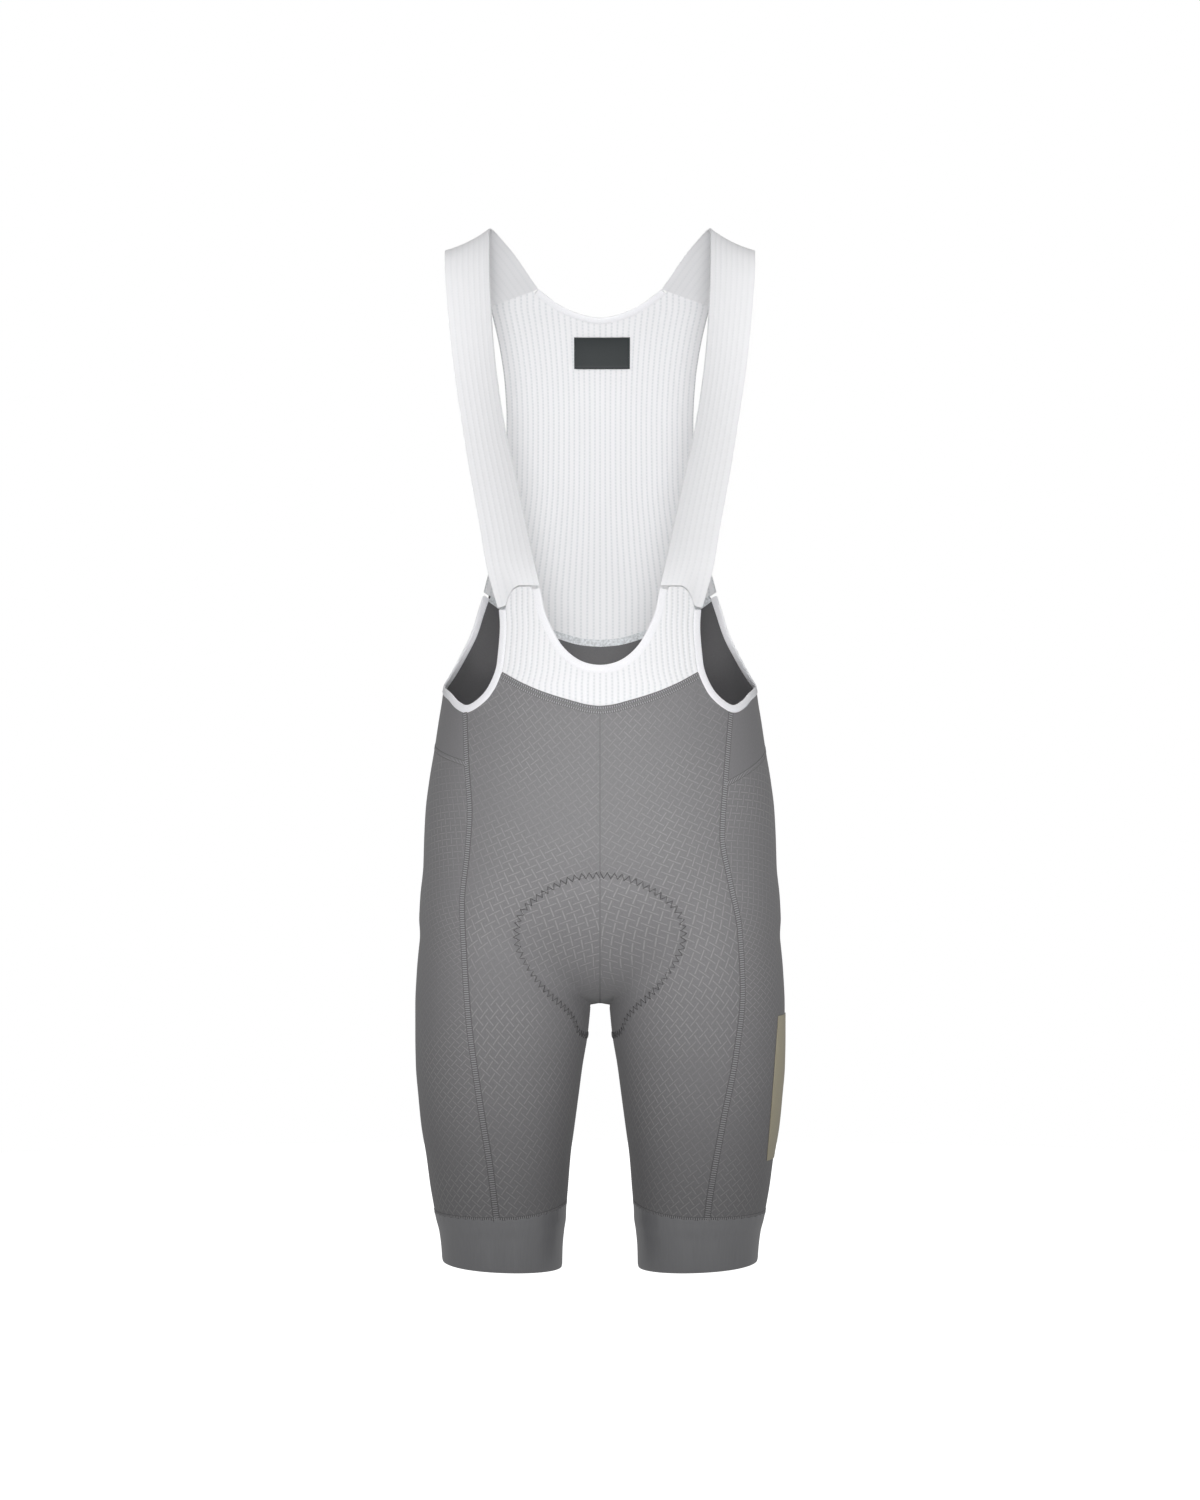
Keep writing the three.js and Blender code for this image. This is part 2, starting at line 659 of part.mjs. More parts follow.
// Rows of a leg below the crotch, down to the gripper's seam
function legRows(turnAt) {
  const bottom = edgeHeight(turnAt, (p, turn) => gripperTop(turn) + HALF_GAP, GRIPPER_TOP_Z);
  return LEG_FRACTIONS.map((f) => lerp(CROTCH_Z, bottom, f));
}

function transposed(columns) {
  return columns[0].map((_, i) => columns.map((column) => column[i]));
}

// Front panel: centre front and inseam on one side, front side seam on the other
function frontPanel(name, side) {
  const sideRows = sideFractions(side);
  const topCentre = CENTRE_LEVELS[0];
  const heights = (u) => {
    const top = edgeHeight((z) => frontTurn(side, u, z, topCentre), frontTopLine, FIRST_HEIGHT.frontTop);
    const upper = centreFractions.map((f, i) => lerp(top, CROTCH_Z, lerp(f, sideRows[i], u)));
    return [...upper, ...legRows((z) => frontTurn(side, u, z, CROTCH_Z))];
  };
  const centre = heights(0);
  const corner = fractionOf(bibCorner, (u, z) => frontTurn(side, u, z, topCentre));
  const columns = spread([0, corner, 1], FRONT_COLUMNS).map((u) => heights(u).map((z, i) => (
    panelPoint(z, frontTurn(side, u, z, centre[i]), FRONT, u === 0)
  )));
  return clothPanel(name, transposed(columns), side.sign);
}

function clothPanel(name, grid, sign) {
  const outer = shifted(grid, padLift);
  const inner = shifted(grid, (p) => padLift(p) - CLOTH_WALL);
  return sewnPiece(name, wallGeometry(mirrored(outer, sign), mirrored(inner, sign)), 'cloth');
}

// The yoke's lower seam: from each front side seam up to the side, then level round the back
const YOKE_SIDE_AT = 0.33; // part of the back panel's width that lies in front of the side
function yokeLowerHeight(side, u) {
  const rise = Math.sin((Math.PI / 2) * Math.min(u / YOKE_SIDE_AT, 1));
  const round = THREE.MathUtils.smoothstep(u, YOKE_SIDE_AT, 1);
  return lerp(side.yokeZ, YOKE_SIDE_Z, rise) + (YOKE_BACK_Z - YOKE_SIDE_Z) * round;
}

function backColumns(side) {
  const corner = fractionOf(yokeCorner, (u, z) => backTurn(side, u, z, YOKE_SEAM[0].z));
  return spread([0, ARMHOLE_BEND * corner, corner, 1], BACK_COLUMNS);
}

// Back panel: from the front side seam round the outside to the centre back and the inseam
function backPanel(name, side) {
  const fromYoke = (fractions) => (
    fractions.slice(YOKE_ROWS).map((f, _, rows) => (f - rows[0]) / (1 - rows[0]))
  );
  const sideRows = fromYoke(sideFractions(side));
  const centreRows = fromYoke(centreFractions);
  const heights = (u) => {
    const top = yokeLowerHeight(side, u) - HALF_GAP;
    const upper = sideRows.map((f, i) => lerp(top, CROTCH_Z, lerp(f, centreRows[i], u)));
    return [...upper, ...legRows((z) => backTurn(side, u, z, CROTCH_Z))];
  };
  const centre = heights(1);
  const columns = backColumns(side).map((u) => heights(u).map((z, i) => (
    panelPoint(z, backTurn(side, u, z, centre[i]), BACK, u === 1)
  )));
  return clothPanel(name, transposed(columns), side.sign);
}

// Back yoke: one band from the right front side seam round the back to the left one
function backYoke(name) {
  const halfColumns = (side) => backColumns(side).map((u) => {
    const top = edgeHeight((z) => backTurn(side, u, z, YOKE_SEAM[0].z), yokeTopLine, FIRST_HEIGHT.yokeTop);
    const bottom = yokeLowerHeight(side, u) + HALF_GAP;
    return spread([0, 1], [YOKE_ROWS]).map((f) => {
      const z = lerp(top, bottom, f);
      const p = panelPoint(z, backTurn(side, u, z, lerp(YOKE_SEAM[0].z, YOKE_BACK_Z, f)), BACK, u === 1);
      if (u === 1) p.x = 0;
      return p;
    });
  });
  const build = (distance) => {
    const right = mirrored(shifted(transposed(halfColumns(SIDES.right)), distance), -1);
    const left = shifted(transposed(halfColumns(SIDES.left)), distance);
    return right.map((row, i) => [...row, ...left[i].slice(0, -1).reverse()]);
  };
  return sewnPiece(name, wallGeometry(build(0), build(-CLOTH_WALL)), 'cloth');
}

// Even columns are a rib's valleys and odd ones its crests
const ribProfile = (p, j) => (j % 2 === 1 ? RIB_HEIGHT : 0);

// Ribbed mesh between a top and a bottom line, its sides at a given width
function ribbedPanel(name, facing, ribs, rows, lines) {
  const grid = rows.map((f) => spread([-1, 1], [2 * ribs]).map((w) => {
    let z = lines.start;
    for (let i = 0; i < SETTLING_ROUNDS; i += 1) {
      const x = w * lines.side(z);
      z = lerp(z, lerp(lines.top(x), lines.bottom(x), f), SETTLING_PACE);
    }
    return torsoPoint(w * lines.side(z), z, facing);
  }));
  const inner = shifted(everySecond(grid), -MESH_WALL);
  return sewnPiece(name, wallGeometry(shifted(grid, ribProfile), inner, 2), 'mesh');
}

function bibFront(name) {
  const widest = scoopCloth.at(-1).x + SLANT_GAP;
  return ribbedPanel(name, FRONT, BIB_RIBS, spread([0, 1], [BIB_ROWS]), {
    start: FIRST_HEIGHT.bib,
    side: (z) => valueAt(bibSide, 'z', 'x', z) - HALF_GAP,
    top: (x) => (Math.abs(x) < widest
      ? valueAt(scoopCloth, 'x', 'z', Math.abs(x))
      : valueAt(STRAP_FRONT_SEAM, 'x', 'z', Math.abs(x)) - HALF_GAP),
    bottom: (x) => bibSeamHeight(x) + HALF_GAP,
  });
}

function bibBack(name) {
  const widest = necklineCloth.at(-1).x + SLANT_GAP;
  return ribbedPanel(name, BACK, BACK_RIBS, BACK_ROWS, {
    start: FIRST_HEIGHT.backMesh,
    side: (z) => valueAt(BACK_MESH_SIDE, 'z', 'x', z),
    top: (x) => (Math.abs(x) < widest
      ? valueAt(necklineCloth, 'x', 'z', Math.abs(x))
      : valueAt(STRAP_BACK_SEAM, 'x', 'z', Math.abs(x)) - 2 * HALF_GAP),
    bottom: (x) => yokeSeamHeight(x) + HALF_GAP,
  });
}

// Normals of a free grid, from its neighbouring points
function gridNormals(grid) {
  const rows = grid.length;
  const columns = grid[0].length;
  return grid.map((row, i) => row.map((_, j) => {
    const down = grid[Math.min(i + 1, rows - 1)][j].clone().sub(grid[Math.max(i - 1, 0)][j]);
    const across = grid[i][Math.min(j + 1, columns - 1)].clone().sub(grid[i][Math.max(j - 1, 0)]);
    return down.cross(across).normalize();
  }));
}

// Strap: from its front seam over the shoulder to its back seam, bowed a little across
function strap(name, sign) {
  const curve = (place) => new THREE.CatmullRomCurve3(STRAP.map((row) => new THREE.Vector3(...place(row))));
  const innerEdge = curve((row) => [row.inX, row.inY, row.inZ]);
  const outerEdge = curve((row) => [row.outX, row.outY, row.outZ]);
  const across = spread([0, 1], [2 * STRAP_RIBS]);
  const seamRow = (seam, facing, shift) => across.map((w) => {
    const x = lerp(seam[0].x, seam.at(-1).x, w);
    return torsoPoint(x, valueAt(seam, 'x', 'z', x) + shift, facing);
  });
  const middle = spread([0, 1], [STRAP_ROWS]).map((f) => {
    const a = innerEdge.getPoint(f);
    const b = outerEdge.getPoint(f);
    const forward = innerEdge.getTangent(f);
    const bowed = b.clone().sub(a).cross(forward).normalize();
    return across.map((w) => a.clone().lerp(b, w).addScaledVector(bowed, -4 * w * (1 - w) * STRAP_BOW));
  });
  const grid = [
    seamRow(STRAP_FRONT_SEAM, FRONT, SLANT_GAP),
    ...middle,
    seamRow(STRAP_BACK_SEAM, BACK, HALF_GAP),
  ];
  const normals = gridNormals(grid);
  const facingOut = normals[2][STRAP_RIBS].y < 0 ? 1 : -1;
  const moved = (distance) => grid.map((row, i) => row.map((p, j) => {
    const length = typeof distance === 'function' ? distance(p, j) : distance;
    return p.clone().addScaledVector(normals[i][j], facingOut * length);
  }));
  const face = mirrored(moved(ribProfile), sign);
  const lining = mirrored(everySecond(moved(-STRAP_WALL)), sign);
  return sewnPiece(name, wallGeometry(face, lining, 2), 'mesh');
}

// Folded band along a free edge, wrapped over the cloth's thickness
function edgeBand(name, edge, width, count, sign, finish) {
  const distances = [0, width / 2, width];
  const lines = distances.map((distance) => besideEdge(edge, distance, count));
  const grid = lines[0].map((_, i) => lines.map((line) => line[i]));
  const outer = grid.map((row) => row.map((p, j) => {
    const proud = j === 1 ? BINDING_PROUD : BINDING_PROUD / 2;
    return p.clone().addScaledVector(normalAt(p), proud);
  }));
  const lining = BINDING_PROUD - BINDING_WALL;
  const inner = grid.map((row) => row.map((p) => p.clone().addScaledVector(normalAt(p), lining)));
  return sewnPiece(name, wallGeometry(mirrored(outer, sign), mirrored(inner, sign)), finish);
}

function armholeBinding(name, sign) {
  return edgeBand(name, armholeEdge, ARMHOLE_BINDING, BAND_STEPS.armhole, sign, 'binding');
}

// Elastic band closed round the end of a leg
function legGripper(name, sign) {
  const ring = spread([-Math.PI, Math.PI], [GRIPPER_GRID.round]).slice(0, -1);
  const grid = spread([0, 1], [GRIPPER_GRID.down]).map((f) => ring.map((turn) => {
    const z = lerp(gripperTop(turn) - HALF_GAP, hemHeight(turn), f);
    return surfacePoint(z, turn);
  }));
  const outer = mirrored(grid, sign);
  const inner = mirrored(shifted(grid, -GRIPPER_WALL), sign);
  return sewnPiece(name, wallGeometry(outer, inner, 1, true), 'gripper');
}

// Seat pad inside the cloth, from the front under the crotch to the back
function seatPad(name) {
  const depth = (distance) => PAD.flatMap((row, i) => {
    if (i === PAD.length - 1) return [row];
    const next = PAD[i + 1];
    return [row, { dip: (row.dip + next.dip) / 2, half: (row.half + next.half) / 2 }];
  }).map((row) => spread([-1, 1], [PAD_COLUMNS]).map((w) => {
    const dip = THREE.MathUtils.degToRad(row.dip);
    const from = new THREE.Vector3(w * row.half, 0, PAD_CENTRE_Z);
    const p = leave(from, new THREE.Vector3(0, -Math.cos(dip), -Math.sin(dip)), REACH);
    return p.addScaledVector(normalAt(p), distance);
  }));
  const top = -CLOTH_WALL - PAD_GAP;
  return sewnPiece(name, wallGeometry(depth(top), depth(top - PAD_THICKNESS)), 'pad');
}

// Flat label on the inside of the back mesh
function neckLabel(name) {
  const grid = [0.5, -0.5].map((v) => spread([-0.5, 0.5], [LABEL_COLUMNS]).map((u) => torsoPoint(
    LABEL.x + u * LABEL.width,
    LABEL.z + v * LABEL.height,
    BACK,
  )));
  const face = -MESH_WALL - 2 * HALF_GAP;
  return sewnPiece(name, wallGeometry(shifted(grid, face), shifted(grid, face - LABEL.thickness)), 'label');
}

// Reflective patch bonded to the outside of the left thigh
function legPatch(name) {
  const grid = spread([0, 1], [PATCH_GRID.down]).map((v) => {
    const z = lerp(PATCH.topZ, PATCH.bottomZ, v);
    const start = turnAtWidth(z, lerp(PATCH.topX, PATCH.bottomX, v));
    const across = spread([0, PATCH.width], [PATCH_GRID.across]);
    return across.map((length) => surfacePoint(z, movedTurn(z, start, length)));
  });
  const face = 3 * HALF_GAP;
  return sewnPiece(name, wallGeometry(shifted(grid, face + PATCH.thickness), shifted(grid, face)), 'patch');
}

const shorts = new THREE.Group();
for (const [name, side] of Object.entries(SIDES)) {
  shorts.add(frontPanel(`front_panel_${name}`, side));
  shorts.add(backPanel(`back_panel_${name}`, side));
  shorts.add(strap(`strap_${name}`, side.sign));
  shorts.add(armholeBinding(`armhole_binding_${name}`, side.sign));
  shorts.add(legGripper(`leg_gripper_${name}`, side.sign));
}
shorts.add(backYoke('back_yoke'));
shorts.add(bibFront('bib_front'));
shorts.add(bibBack('bib_back'));
shorts.add(edgeBand('neck_binding', scoopEdge, NECK_BINDING, BAND_STEPS.neck, 1, 'binding'));
shorts.add(edgeBand('back_neck_hem', necklineEdge, BACK_HEM, BAND_STEPS.backNeck, 1, 'mesh'));
shorts.add(seatPad('chamois_pad'));
shorts.add(neckLabel('neck_label'));
shorts.add(legPatch('leg_patch'));

export default shorts;
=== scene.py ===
"""Looks of the cycling bib shorts: each sewn piece as a fine thin shell on its solid's form, the sewing
on it, its materials, and a plain studio. Lengths are in millimetres until a mesh is made, then in metres."""

import math

import bpy
import numpy as np
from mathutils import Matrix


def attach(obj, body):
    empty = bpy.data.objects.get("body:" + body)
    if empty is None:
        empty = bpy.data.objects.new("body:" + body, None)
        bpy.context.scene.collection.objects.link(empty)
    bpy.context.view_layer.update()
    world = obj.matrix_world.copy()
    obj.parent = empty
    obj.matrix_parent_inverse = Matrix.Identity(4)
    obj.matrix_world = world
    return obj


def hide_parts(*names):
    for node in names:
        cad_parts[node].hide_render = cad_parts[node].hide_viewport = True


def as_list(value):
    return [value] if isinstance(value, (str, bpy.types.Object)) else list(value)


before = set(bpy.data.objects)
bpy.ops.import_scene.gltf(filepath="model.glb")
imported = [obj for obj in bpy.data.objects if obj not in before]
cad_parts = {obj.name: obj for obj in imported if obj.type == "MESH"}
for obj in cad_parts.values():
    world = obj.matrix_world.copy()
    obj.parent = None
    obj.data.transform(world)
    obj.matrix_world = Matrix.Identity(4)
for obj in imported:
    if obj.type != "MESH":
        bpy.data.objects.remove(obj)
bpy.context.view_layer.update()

MM = 0.001

bl_info = {
    "name": "Cycling bib shorts",
    "version": (1, 0, 0),
    "blender": (4, 5, 0),
    "location": "View3D > Sidebar > Bib shorts",
    "description": "Builds worn cycling bib shorts piece by piece on their packed frame",
    "category": "Object",
}

# Seam gaps and heights of the main lines
HALF_GAP = 0.15
EDGE_GAP = 1.0
SLANT_GAP = 1.2
CROTCH_Z = -697.5
GRIPPER_TOP_Z = -883.5
GRIPPER_INNER_RISE = 8.0
HEM_Z = -931.0
HEM_TILT = 3.0
GRIPPER_WALL = 1.4
YOKE_BACK_Z = -445.0
YOKE_SIDE_Z = -462.0
YOKE_SIDE_AT = 0.33
ARMHOLE_BINDING = 5.7
NECK_BINDING = 6.2
BACK_HEM = 4.5
FRONT = -1
BACK = 1

# Body form: superellipse sections of the torso, and of one leg from its own height down
TORSO_ROUNDNESS = 2.2
TORSO_COLUMNS = ("z", "half", "front", "back")
TORSO = [
    (0, 128, 62, 60), (-50, 137, 84, 84), (-100, 145, 100, 100), (-150, 150, 110, 108), (-200, 151, 113, 110),
    (-240, 150, 112, 108), (-280, 147, 109, 103), (-320, 142, 106, 98), (-360, 139, 104, 95),
    (-400, 139.3, 104, 96), (-425, 142, 105, 98), (-443, 144.9, 107, 101), (-470, 149, 110, 106),
    (-497, 153.5, 114, 112), (-524, 156.8, 117, 117.5), (-555, 158.3, 118, 121), (-590, 159, 115, 121),
    (-620, 157, 108, 117), (-640, 145, 99, 109), (-660, 122, 85, 94), (-678, 88, 64, 71), (-690, 52, 38, 43),
    (-695, 28, 20, 23), (-697, 14, 8, 9), (CROTCH_Z, 3, 0.5, 0.5),
]
LEG_ROUNDNESS = 2.1
LEG_COLUMNS = ("z", "inner", "outer", "front", "back", "blend")
LEG = [
    (-560, 10, 140, 80, 85, 14), (-600, 4, 156, 95, 104, 14), (-640, 4, 162, 97, 108, 13),
    (-670, 6, 164.8, 95, 106, 10), (-699, 8.6, 166.1, 92, 101, 5), (-726, 11.3, 166.1, 89, 96, 5),
    (-753, 15.8, 165.6, 86, 92, 5), (-780, 19.4, 163.4, 83, 88, 5), (-807, 23, 160.7, 80, 84, 5),
    (-834, 26.6, 156.2, 77, 80, 5), (-861, 28.8, 152.6, 74, 76, 5), (-880, 30.2, 149.3, 72, 73.5, 5),
    (-890, 30.4, 147.6, 71, 72, 5), (-902, 32, 144.5, 69, 70, 5), (-917, 33.4, 142.6, 68.5, 69.5, 5),
    (-934, 33.9, 141.6, 68, 69, 5),
]
# Core line of a half: height, and width from the centre line
CORE = [(-300, 36), (-440, 40), (-560, 55), (-640, 76), (-700, 87.5), (-800, 91.5), (-880, 90), (-934, 87.8)]

# Front side seams: height and width from the centre line
SEAM_RIGHT = [
    (-430, 119.5), (-482, 117.2), (-525, 114.2), (-560, 116.4), (-605, 120.9), (-650, 119), (-705, 115.3),
    (-773, 106.4), (-840, 96.2), (-885, 91),
]
SEAM_LEFT = [
    (-430, 116), (-500, 109.9), (-545, 107), (-583, 113.5), (-628, 122.5), (-683, 125.2), (-739, 119.2),
    (-795, 108.5), (-863, 96.7), (-885, 94),
]
SIDES = {
    "right": {"sign": -1, "seam": SEAM_RIGHT, "yoke_z": -482},
    "left": {"sign": 1, "seam": SEAM_LEFT, "yoke_z": -500},
}

# Free edges and seams: width from the centre line, height and, on the armhole, front or back
ARMHOLE_EDGE = [
    (88.9, -347, -1), (88.1, -362, -1), (89.5, -382, -1), (92.2, -400, -1), (100.8, -417.6, -1),
    (110.1, -426.5, -1), (117.7, -430, -1), (125.6, -426.5, -1), (133, -419, -1), (139.2, -408, 1),
    (134.9, -399, 1), (129.5, -388, 1), (119.3, -366, 1), (112.2, -343, 1), (107.6, -328, 1),
]
SCOOP_EDGE = [
    (52, -328.5), (47.9, -349), (41.8, -363.5), (33.5, -378), (23.2, -388), (12.9, -393.4), (0, -395.5),
]
NECKLINE_EDGE = [(57, -45.3), (37, -59), (18.5, -66.5), (0, -70)]
BIB_SEAM = [(0, -431.5), (10, -430.4), (25, -426.6), (48, -419.5), (67, -411.5), (87, -400.5)]
YOKE_SEAM = [(0, -368.5), (14, -367.5), (41, -360.4), (75, -346), (108, -324)]
STRAP_FRONT_SEAM = [(52.5, -327.5), (70, -327), (76, -330), (80, -337), (83, -344.5), (89.5, -346.5)]
STRAP_BACK_SEAM = [(57.4, -45), (101, -62)]
BACK_MESH_SIDE = [
    (-62, 101), (-86, 95), (-108, 90.8), (-130, 88), (-164, 86.2), (-220, 87), (-270, 94), (-326, 107),
]

# Edges of a strap over the shoulder: inner x, y, z and outer x, y, z
STRAP = [
    (58.1, -100, -302, 99.6, -80, -309), (66.3, -102.5, -265, 106.5, -81, -268),
    (74.8, -101.5, -226, 113.8, -79, -229), (81.8, -98, -197, 118.6, -75.5, -200),
    (87.8, -91.5, -163, 124, -70.5, -166), (92, -83.5, -133, 128.6, -64.5, -136),
    (95.1, -73, -100, 132.3, -58, -105), (97.2, -59.5, -67, 135.4, -48, -75),
    (98.5, -44, -38, 137.6, -37, -50), (99, -25, -14, 138.6, -22, -30), (99, -3, -0.6, 138.4, -2, -20.5),
    (91, 19, -5.5, 133.5, 20, -24.5), (77.5, 44, -19, 121, 42, -38),
]
STRAP_BOW = 2.2

# Seat pad: angle below the horizontal and half width, along its path from front to back
PAD_CENTRE_Z = -620
PAD = [
    (-19, 22), (-14, 52), (-5, 68), (8, 70), (24, 60), (42, 38), (58, 16), (75, 7), (105, 7), (122, 9),
    (138, 27), (158, 66), (178, 76), (190, 60), (196, 28),
]
# The line on which it is sewn in, on one half: width and height down the front, and up the back
PAD_LINE_FRONT = [
    (0, -578.5), (18, -580), (37, -587), (51, -595.5), (63.5, -605.5), (70, -615), (73, -630), (71, -644.5),
    (66, -654), (53.5, -673.5), (43, -686), (31, -697.5), (22.7, -709.5), (19.6, -719),
]
PAD_LINE_INSEAM_Z = -726.0
PAD_LINE_BACK = [
    (20, -719), (33, -700), (48, -683), (66, -660), (76, -634), (74, -616), (58, -597), (30, -586), (0, -583),
]
PAD_OVAL = {"z": -638, "half_width": 71, "half_height": 58}
PAD_LIFT = 2.0
PAD_LIFT_EDGE = 9.0

LABEL = {"x": 1.9, "z": -101.7, "width": 52, "height": 28.7}
PATCH = {"top_z": -706, "bottom_z": -835, "top_x": 158, "bottom_x": 148, "width": 45}

# Row levels down the centre line and down a leg, and where the rows between them gather
CENTRE_LEVELS = [
    -431.5, -450, -472, -496, -524, -555, -588, -617, -641, -659, -673, -683, -690, -694, -696, -697,
    CROTCH_Z,
]
YOKE_ROWS = 3
FRONT_GATHER = 1.4
BACK_GATHER = 2.5

# Searches on the body form
REACH = 260.0
STEP = 0.5
HALVINGS = 34
SETTLING_ROUNDS = 12
SETTLING_PACE = 0.7
NEAR_INSEAM = -0.98 * math.pi

# Turn of the lattice from upright, in degrees, by height, at the centre, halfway and at the side seam
FRONT_LATTICE = [
    (-432, 46, 38, 24), (-480, 46, 35, 22), (-530, 42, 31, 21), (-580, 27, 26, 24), (-620, 8, 18, 28),
    (-650, 0, 20, 36), (-690, 4, 34, 45), (-730, 46, 47, 49), (-884, 50, 50, 50),
]
BACK_LATTICE = [
    (-440, 46, 30, 0), (-560, 40, 20, 2), (-600, 30, 20, 6), (-650, 20, 34, 36), (-690, 30, 46, 48),
    (-884, 50, 50, 50),
]


def linear(code):
    """An sRGB hex colour as linear red, green and blue."""
    channels = np.array([int(code[i:i + 2], 16) for i in (1, 3, 5)]) / 255
    return tuple(np.where(channels > 0.04045, ((channels + 0.055) / 1.055) ** 2.4, channels / 12.92))


class ShortsSizes(bpy.types.PropertyGroup):
    """Sizes that a maker would change."""
    cloth_wall: bpy.props.FloatProperty(
        name="Cloth thickness", description="Thickness of the grey cloth", default=0.0012, unit="LENGTH")
    mesh_wall: bpy.props.FloatProperty(
        name="Mesh thickness", description="Thickness of the white mesh", default=0.0011, unit="LENGTH")
    lattice_spacing: bpy.props.FloatProperty(
        name="Lattice spacing", description="Distance between two lines of the cloth's lattice",
        default=0.0066, unit="LENGTH")
    rib_height: bpy.props.FloatProperty(
        name="Rib height", description="Height of the mesh's ribs", default=0.0005, unit="LENGTH")
    bib_ribs: bpy.props.IntProperty(
        name="Ribs of the bib", description="Ribs across the front mesh", default=34)
    back_ribs: bpy.props.IntProperty(
        name="Ribs of the back", description="Ribs across the back mesh", default=36)
    strap_ribs: bpy.props.IntProperty(
        name="Ribs of a strap", description="Ribs across a strap", default=8)
    seam_width: bpy.props.FloatProperty(
        name="Seam width", description="Width of a cover-stitched seam", default=0.006, unit="LENGTH")
    stitch: bpy.props.FloatProperty(
        name="Stitch length", description="Length of one stitch", default=0.002, unit="LENGTH")


class ShortsColours(bpy.types.PropertyGroup):
    """Colours of the garment and the studio."""
    cloth: bpy.props.FloatVectorProperty(
        name="Cloth", description="Grey cloth", subtype="COLOR", default=linear("#807f81"))
    lattice: bpy.props.FloatVectorProperty(
        name="Lattice", description="Lighter lines in the cloth", subtype="COLOR", default=linear("#9a9999"))
    thread: bpy.props.FloatVectorProperty(
        name="Thread", description="Grey sewing thread", subtype="COLOR", default=linear("#a09fa1"))
    gripper: bpy.props.FloatVectorProperty(
        name="Gripper", description="Satin leg band", subtype="COLOR", default=linear("#8b8b8e"))
    mesh: bpy.props.FloatVectorProperty(
        name="Mesh", description="White mesh", subtype="COLOR", default=linear("#f6f6f8"))
    # Painted shade: the colour towards which the mesh's valleys and rows of holes are darkened; the yoke's
    # overlock thread also takes it
    mesh_shade: bpy.props.FloatVectorProperty(
        name="Mesh shade", description="Thin places in the mesh", subtype="COLOR", default=linear("#dcdfe2"))
    binding: bpy.props.FloatVectorProperty(
        name="Binding", description="White elastic binding", subtype="COLOR", default=linear("#f8f8fb"))
    label: bpy.props.FloatVectorProperty(
        name="Label", description="Near-black label", subtype="COLOR", default=linear("#1d2426"))
    patch: bpy.props.FloatVectorProperty(
        name="Patch", description="Beige film on the thigh", subtype="COLOR", default=linear("#beb69d"))
    pad: bpy.props.FloatVectorProperty(
        name="Pad", description="Facing of the seat pad", subtype="COLOR", default=linear("#3a3d40"))
    floor: bpy.props.FloatVectorProperty(
        name="Floor", description="Studio floor", subtype="COLOR", default=linear("#fbfbfb"))


def in_mm(length):
    return length / MM


# The body form

def along(table, column, at):
    """Value of a column at places down a table's first column: a monotone cubic through the rows, whose
    slope at a row is the harmonic mean of the slopes beside it."""
    keys, values = (np.array([row[i] for row in table], float) for i in (0, column))
    if keys[-1] < keys[0]:
        keys, values = keys[::-1], values[::-1]
    slope = np.diff(values) / np.diff(keys)
    before, after = slope[:-1], slope[1:]
    same = before * after > 0
    middle = np.where(same, 2 * before * after / np.where(same, before + after, 1), 0)
    tangent = np.concatenate([slope[:1], middle, slope[-1:]])
    at = np.clip(at, keys[0], keys[-1])
    i = np.clip(np.searchsorted(keys, at) - 1, 0, len(slope) - 1)
    span = keys[i + 1] - keys[i]
    t = (at - keys[i]) / span
    rise = span * (tangent[i] * t * (1 - t) ** 2 - tangent[i + 1] * t * t * (1 - t))
    return values[i] + (values[i + 1] - values[i]) * t * t * (3 - 2 * t) + rise


def mix(a, b, t):
    return a + (b - a) * t


def smooth(t):
    """Zero below 0, one above 1 and a smooth cubic between."""
    t = np.clip(t, 0, 1)
    return t * t * (3 - 2 * t)


def section(z):
    """Sizes of the body form's sections at heights z, as a dictionary of arrays."""
    z = np.asarray(z, float)
    cut = {f"torso_{name}": along(TORSO, i, z) for i, name in enumerate(TORSO_COLUMNS) if i}
    cut.update({f"leg_{name}": along(LEG, i, z) for i, name in enumerate(LEG_COLUMNS) if i})
    cut["core"] = along(CORE, 1, z)
    cut["has_torso"] = z >= CROTCH_Z
    cut["has_leg"] = z < LEG[0][0]
    return cut


def oval_distance(x, y, half, depth, power):
    """Roughly the distance outside an oval |x/half|^power + |y/depth|^power = 1."""
    rho = ((np.abs(x) / half) ** power + (np.abs(y) / depth) ** power) ** (1 / power)
    return (rho - 1) * np.minimum(half, depth)


def outside(cut, x, y):
    """Roughly the distance outside the body form: torso and leg ovals joined by a smooth minimum."""
    torso = oval_distance(x, y, cut["torso_half"], np.where(y < 0, cut["torso_front"], cut["torso_back"]),
                          TORSO_ROUNDNESS)
    torso = np.where(cut["has_torso"], torso, 1e6)
    half = (cut["leg_outer"] - cut["leg_inner"]) / 2
    centre = (cut["leg_outer"] + cut["leg_inner"]) / 2
    leg = oval_distance(np.abs(x) - centre, y, half, np.where(y < 0, cut["leg_front"], cut["leg_back"]),
                        LEG_ROUNDNESS)
    leg = np.where(cut["has_leg"], leg, 1e6)
    overlap = np.maximum(cut["leg_blend"] - np.abs(torso - leg), 0) / cut["leg_blend"]
    return np.minimum(torso, leg) - overlap ** 2 * cut["leg_blend"] / 4


def stack(*columns):
    return np.stack(np.broadcast_arrays(*columns), axis=-1)


def unit(vectors):
    return vectors / np.maximum(np.linalg.norm(vectors, axis=-1, keepdims=True), 1e-12)


